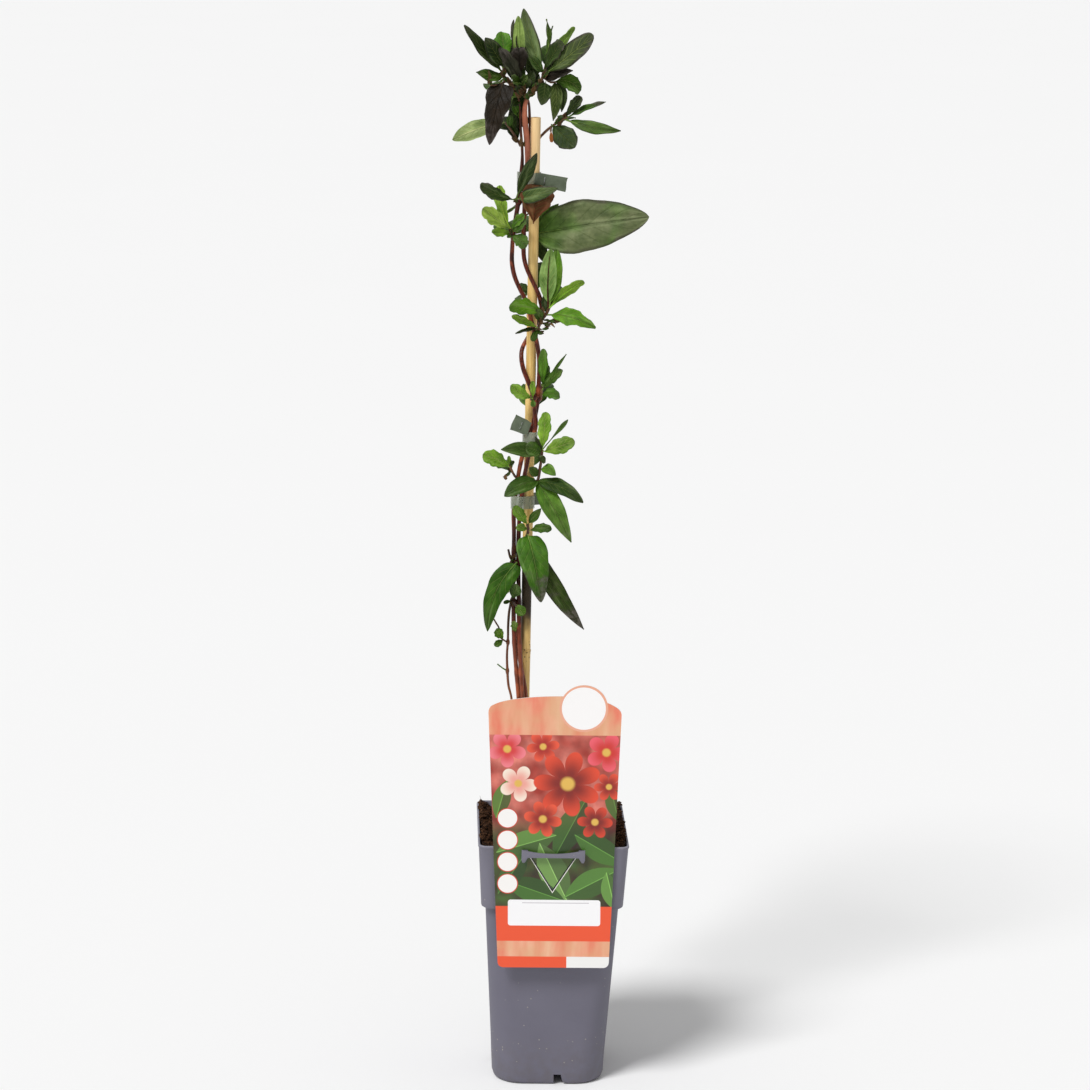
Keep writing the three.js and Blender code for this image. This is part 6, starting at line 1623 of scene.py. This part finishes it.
def make_loop(name, tie, rng):
    """The film pulled tight round the cane and the stems."""
    count = 48
    strands = [(CANE_X, CANE_Y, CANE_RADIUS + 0.1)]
    for z in (tie["foot"], (tie["foot"] + tie["top"]) / 2, tie["top"]):
        for stem in ("stem_left", "stem_right", "stem_back"):
            radius, route = STEMS[stem]
            strands.append((*stem_at(route, z), radius))

    def film_outline(reach):
        spots = []
        for x, y, radius in strands:
            spots += [spot[:2] for spot in round_ring(x, y, 0, radius + reach, 24)]
        return even_ring(tight_round(spots), count)

    shifts = [rng.uniform(-0.05, 0.05) for _ in range(count)]
    outside, rings = film_outline(FILM_PLAY + FILM_THICK), []
    for level, z in enumerate(np.linspace(tie["foot"], tie["top"], 7)):
        rings.append([(x + shifts[(k + level) % count], y + shifts[(k + 9 + level) % count], z)
                      for k, (x, y) in enumerate(outside)])
    loop = pull_up(round_blank("loop", count), rings)
    inside = film_outline(FILM_PLAY)
    hollow = [[(x, y, z) for x, y in inside] for z in (tie["foot"] - 3, tie["top"] + 3)]
    cut_out(loop, pull_up(round_blank("hollow", count), hollow))
    loop = gather(f"film_loop_{name}", [loop])
    smooth(loop, 50)
    settle(loop, f"tie_{name}", "tie_film", FILM_LOOP)


def make_tail(name, tie, rng):
    """The doubled end of the film, which stands out sideways."""
    put_all_down()
    bpy.ops.mesh.primitive_grid_add(x_subdivisions=30, y_subdivisions=10, size=2)
    tail = bpy.context.object
    mesh = open_up()
    half, phase = tie["high"] / 2, rng.uniform(0, 6)
    for vert in mesh.verts:
        a, b = (vert.co.x + 1) / 2, vert.co.y
        ragged = 0.3 * math.sin(3 * b + phase) if a > 0.98 else 0
        fold = 0.5 * math.sin(6 * a + 1.2 * b + phase) * a + 0.1 * math.sin(17 * a - 3 * b)
        flare = 1 + 0.1 * a * a - 0.12 * math.exp(-((a * tie["tail"] - 1) / 2) ** 2)
        vert.co = Vector(on_tail(tie, a * tie["tail"] + ragged, fold, b * half * flare)) * MM
    close_up()
    apply_with(tail, "SOLIDIFY", thickness=TAIL_THICK * MM, offset=0)
    tail = gather(f"film_tail_{name}", [tail])
    smooth(tail, 50)
    settle(tail, f"tie_{name}", "tie_film", FILM_TAIL)


def make_staple(name, tie):
    """A bent wire through the tail, with its legs folded over behind."""
    front, leg = STAPLE_FRONT, STAPLE_LEG
    corners = [
        (front, 0), (front, leg - 0.3), (front - 0.35, leg), (-front + 0.35, leg), (-front, leg - 0.35),
        (-front, leg - 0.9), (-front, 0.7),
    ]
    arm = [on_tail(tie, tie["staple"], -y, z) for y, z in corners[::-1]]
    other = [on_tail(tie, tie["staple"], -y, -z) for y, z in corners[1:]]
    run = [*arm, *other]
    wire = draw_wire("staple", run, [STAPLE_RADIUS] * len(run), 10)
    staple = gather(f"wire_staple_{name}", [wire])
    smooth(staple, 60)
    settle(staple, f"staple_{name}", "staple_steel", STAPLE_WIRE)


# ---- leaves ----


def make_blade_blank(across, along):
    """A flat blade of two faces: across it runs from -1 to 1 in x, along it from 0 to 1 in y."""
    put_all_down()
    bpy.ops.mesh.primitive_grid_add(x_subdivisions=across, y_subdivisions=along, size=2)
    blank = bpy.context.object
    mesh = open_up()
    for vert in mesh.verts:
        t = (vert.co.y + 1) / 2
        vert.co.y = t * t * (3 - 2 * t) * 0.6 + t * 0.4
    close_up()
    blank.data.materials.append(LEAF_UPPER)
    blank.data.materials.append(LEAF_UNDER)
    apply_with(blank, "SOLIDIFY", thickness=1, offset=0, material_offset=1)
    return blank


def dress(mesh, blade, marks, tone):
    """Gives a mesh the places on the blade, the marks and the tone that the leaf finishes read."""
    count = len(mesh.vertices)
    for label, kind, field, values, size in (
        ("blade", "FLOAT_VECTOR", "vector", blade, 3),
        ("marks", "FLOAT_VECTOR", "vector", marks, 3),
        ("tone", "FLOAT_COLOR", "color", tone, 4),
    ):
        layer = mesh.attributes.new(label, kind, "POINT")
        layer.data.foreach_set(field, np.broadcast_to(np.array(values, float), (count, size)).ravel())


def dress_plainly(piece, finish, tone, bloom_and_sheen=0):
    """One finish and one tone for a stalk, a twig or a knot."""
    piece.data.materials.clear()
    piece.data.materials.append(finish)
    dress(piece.data, (0.5, 0.2, 0), (0, 0, 0), (*paint(*tone)[:3], bloom_and_sheen))
    return piece


def widen(leaf, u, t, phase):
    """Half the width of a blade along it, with its lobes, which differ from margin to margin."""
    lean, full = leaf.outline
    usual = zip(("blunt", "late", "lobes"), OUTLINES[leaf.outline])
    blunt, late, lobes = (leaf.own.get(label, value) for label, value in usual)
    if leaf.length <= TINY_LEAF and "lobes" not in leaf.own:
        lobes /= 3
    swell = np.pi * np.clip(t, 0, 1) ** (lean * late)
    shape = np.sin(swell) ** np.where(swell > np.pi / 2, full * (1 - 0.7 * blunt), full)
    cuts = np.sin(2 * np.pi * 3.1 * t + phase[0] + 1.3 * np.tanh(4 * u))
    cuts += 0.4 * np.sin(2 * np.pi * 7 * t + phase[1])
    return np.maximum(0.4, leaf.width / 2 * shape * (1 + lobes * cuts))


def crumple(leaf, u, t, half, phase):
    """How far a blade rises: folded and waved, uneven, with its margins rolled down and veins sunk in."""
    off = np.abs(u)
    size = min(1.0, leaf.length / FULL_RELIEF)
    uneven = 0.9 * np.sin(12 * t + 2 * u + phase[2]) + 0.6 * np.sin(19 * t - 3 * u + phase[3])
    quilts = 0.5 - 0.5 * np.cos(2 * np.pi * VEIN_PAIRS * (t - VEIN_SLANT * off ** 0.85))
    lift = (np.sqrt(u * u + 0.01) - 0.1) * (leaf.fold * half + leaf.wave * np.sin(9 * t + 1.4 * u))
    lift += (0.25 + size) * 0.6 * uneven * off * (1 - t * 0.4)
    lift -= 0.12 * half * off ** 3
    lift += size * 0.28 * quilts * np.sqrt(off) * (1 - u * u)
    return lift


def bend_leaf(blank, leaf, rng):
    """A copy of the blank bent into a leaf, with its tone and its marks."""
    mesh = blank.data.copy()
    flat = np.empty(len(mesh.vertices) * 3)
    mesh.vertices.foreach_get("co", flat)
    u, t, face = flat.reshape(-1, 3).T
    phase = [rng.uniform(0, 6) for _ in range(5)]
    half = widen(leaf, u, t, phase)
    lift = crumple(leaf, u, t, half, phase)

    s = leaf.stalk + (1 - leaf.stalk) * t
    bow = 4 * s * (1 - s)
    slope = 4 * leaf.arch * (1 - 2 * s) / leaf.length
    normal = leaf.up - slope[:, None] * leaf.along
    normal /= np.linalg.norm(normal, axis=1)[:, None]
    middle = leaf.start + (s * leaf.length)[:, None] * leaf.along
    middle = middle + (bow * leaf.arch)[:, None] * leaf.up + (bow * leaf.sweep)[:, None] * leaf.side
    places = middle + (u * half)[:, None] * leaf.side + (lift + face * BLADE_THICK)[:, None] * normal
    mesh.vertices.foreach_set("co", (places * MM).ravel())

    shade, warm = rng.uniform(0.88, 1.1), rng.uniform(-0.04, 0.04)
    *stains, bloom_and_sheen = leaf.own.get("marks", MARKS[leaf.kind])
    upper, under = ((*paint(red * (shade + warm), green * shade, blue * (shade - warm))[:3], bloom_and_sheen)
                    for red, green, blue in leaf.tones)
    stains = [stain * rng.uniform(0.85, 1.15) for stain in stains]
    dress(mesh, np.stack([u, t, face], axis=1), stains, np.where((face > 0)[:, None], upper, under))
    return place_copy("blade", mesh)


def draw_rib(leaf):
    """The stalk, and the midrib that stands out under the blade."""
    run, radii = [], []
    for k in range(9):
        s = k / 8 * 0.88
        t = max(0.0, (s - leaf.stalk) / (1 - leaf.stalk))
        bow, slope = 4 * s * (1 - s), 4 * leaf.arch * (1 - 2 * s) / leaf.length
        spot = leaf.start + s * leaf.length * leaf.along
        spot = spot + bow * (leaf.arch * leaf.up + leaf.sweep * leaf.side)
        run.append(spot - (leaf.up - slope * leaf.along) * (RIB_DEPTH if t > 0 else 0.0))
        radii.append(max(0.15, min(RIB_MOST, leaf.length / RIB_SLIM) * (1 - 0.85 * t)))
    colour = leaf.own.get("rib", [min(255, c * 1.05 + 8) for c in leaf.tones[1]])
    return dress_plainly(draw_wire("rib", run, radii, 6), LEAF_UNDER, colour)


def grow_scales(blank, place, points_to, count, longest, rng):
    """A tuft of small brown scales and green buds round a node."""
    tuft = []
    for _ in range(count):
        way = np.array(points_to, float) / np.linalg.norm(points_to)
        way += [rng.uniform(-0.6, 0.6), rng.uniform(-0.7, 0.4), rng.uniform(-0.4, 0.5)]
        way /= np.linalg.norm(way)
        start = np.array(place) + [rng.uniform(-0.9, 0.9), rng.uniform(-1.4, 0.6), rng.uniform(-1.6, 1.6)]
        end = start + way * longest * rng.uniform(0.5, 1)
        faces = np.array((rng.uniform(-0.5, 0.5), -1, rng.uniform(-0.2, 0.8))) + way * 0.1
        width = rng.uniform(1.6, 3)
        tone = (138, 94, 66) if rng.random() < 0.7 else (72, 104, 30)
        scale = Leaf(start, end, width, faces, LANCE, GREEN, arch=0.8, fold=0.4, wave=0.3, tone=tone,
                     under=(140, 98, 70), marks=(0.2, 0.3, 0, 0.1))
        tuft.append(bend_leaf(blank, scale, rng))
    return tuft


def draw_twig(radius, route, finish):
    run = run_curve(route, 3)
    twig = draw_wire("twig", run, [radius * (1 + 0.06 * math.sin(k)) for k in range(len(run))], 8)
    return dress_plainly(twig, finish, (130, 168, 90))


def make_knot(x, y, z, radius, finish):
    """A swollen ring where shoots leave a stem."""
    profile = ((-2.4, 0.66), (-1.4, 0.88), (-0.4, 1.02), (0.5, 1.0), (1.6, 0.82), (2.4, 0.62))
    rings = [round_ring(x, y, z + rise, radius * share, 14) for rise, share in profile]
    return dress_plainly(pull_up(round_blank("knot", 14), rings), finish, (110, 60, 40), 1)


def make_spray(name, spray, blanks, rng):
    """One piece of all that grows from one place."""
    things = []
    for leaf in spray.leaves:
        things.append(bend_leaf(blanks["large" if leaf.length >= LARGE_LEAF else "small"], leaf, rng))
        things.append(draw_rib(leaf))
    for tuft in spray.tufts:
        things += grow_scales(blanks["scale"], *tuft, rng)
    for radius, route in spray.twigs:
        things.append(draw_twig(radius, route, LEAF_UPPER if name == "thin_stem_twig" else TWIG_BARK))
    if spray.knot:
        *place, radius = spray.knot
        slim, bark = (0.62, TWIG_BARK) if name.startswith("thin") else (0.92, STEM_BARK)
        things.append(make_knot(*place, radius * slim, bark))
    piece = gather(f"{name}_grown", things)
    smooth(piece, 60)
    settle(piece, name, spray.slot)


# ---- making it all ----


def grow_vine():
    """All the pieces. The ties draw from one run of random numbers and the sprays from another."""
    make_pot()
    make_soil()
    make_label()
    make_cane()
    make_stems()
    rng = random.Random(3)
    for name, tie in TIES.items():
        make_loop(name, tie, rng)
        make_tail(name, tie, rng)
        make_staple(name, tie)
    grids = {"large": (10, 28), "small": (8, 16), "scale": (2, 5)}
    blanks = {size: make_blade_blank(*grid) for size, grid in grids.items()}
    rng = random.Random(8)
    for name, spray in SPRAYS.items():
        make_spray(name, spray, blanks, rng)
    drop(*blanks.values())


# ---- studio ----

CAMERA_PLACE = (-93.14, -2333.64, 958.76)
CAMERA_LOOKS = (0.03497, 0.97235, -0.23090)
CAMERA_ROLL = 1.19  # degrees
SENSOR = 36
FRAME_WIDE = 1090
FOCUS = 3280  # in the same unit as the frame


def set_floor():
    """A wide pale floor, a little under the pot's foot."""
    put_all_down()
    bpy.ops.mesh.primitive_plane_add(size=400, location=(0, 0, -0.0004))
    floor = bpy.context.object
    floor.name = "pale_floor"
    own = Finish("pale floor", Roughness=0.9)
    colour = own.blend(own.mottled(2, 1, 0.3), (248, 248, 248), (251, 251, 251))
    floor.data.materials.append(own.apply(Base_Color=colour))
    floor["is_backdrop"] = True


def set_lights():
    """White light from all round, and a soft key light from the upper left."""
    world = bpy.data.worlds.new("soft studio")
    bpy.context.scene.world = world
    world.use_nodes = True
    sky = world.node_tree.nodes["Background"].inputs
    sky["Color"].default_value = (1, 1, 1, 1)
    sky["Strength"].default_value = 0.42
    put_all_down()
    bpy.ops.object.light_add(type="SUN", location=(-2, -3, 4))
    key = bpy.context.object
    key.name = key.data.name = "soft key light"
    key.data.energy = 2.3
    key.data.angle = math.radians(18)
    key.rotation_euler = Vector((0.5, 0.55, -0.95)).to_track_quat("-Z", "Y").to_euler()


def set_camera():
    """A long lens that looks down a little and is turned by its roll."""
    forward = Vector(CAMERA_LOOKS).normalized()
    right = forward.cross(Vector((0, 0, 1))).normalized()
    up = right.cross(forward)
    roll = math.radians(CAMERA_ROLL)
    across = math.cos(roll) * right + math.sin(roll) * up
    over = math.cos(roll) * up - math.sin(roll) * right
    lens = bpy.data.cameras.new("studio camera")
    lens.sensor_width = SENSOR
    lens.lens = SENSOR * FOCUS / FRAME_WIDE
    lens.clip_end = 200
    camera = place_copy("studio camera", lens)
    turn = Matrix((across, over, -forward)).transposed().to_4x4()
    camera.matrix_world = Matrix.Translation(Vector(CAMERA_PLACE) * MM) @ turn
    bpy.context.scene.camera = camera
    bpy.context.scene.view_settings.view_transform = "Standard"


def as_lists(bounds):
    """Bounds as plain lists, so that they can be written down."""
    if isinstance(bounds, dict):
        return {key: as_lists(value) for key, value in bounds.items()}
    return [as_lists(v) if hasattr(v, "__len__") else float(v) for v in bounds]


grow_vine()
set_floor()
set_lights()
set_camera()
{"packed": as_lists(PACKED_BOUNDS), "visual": as_lists(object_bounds())}
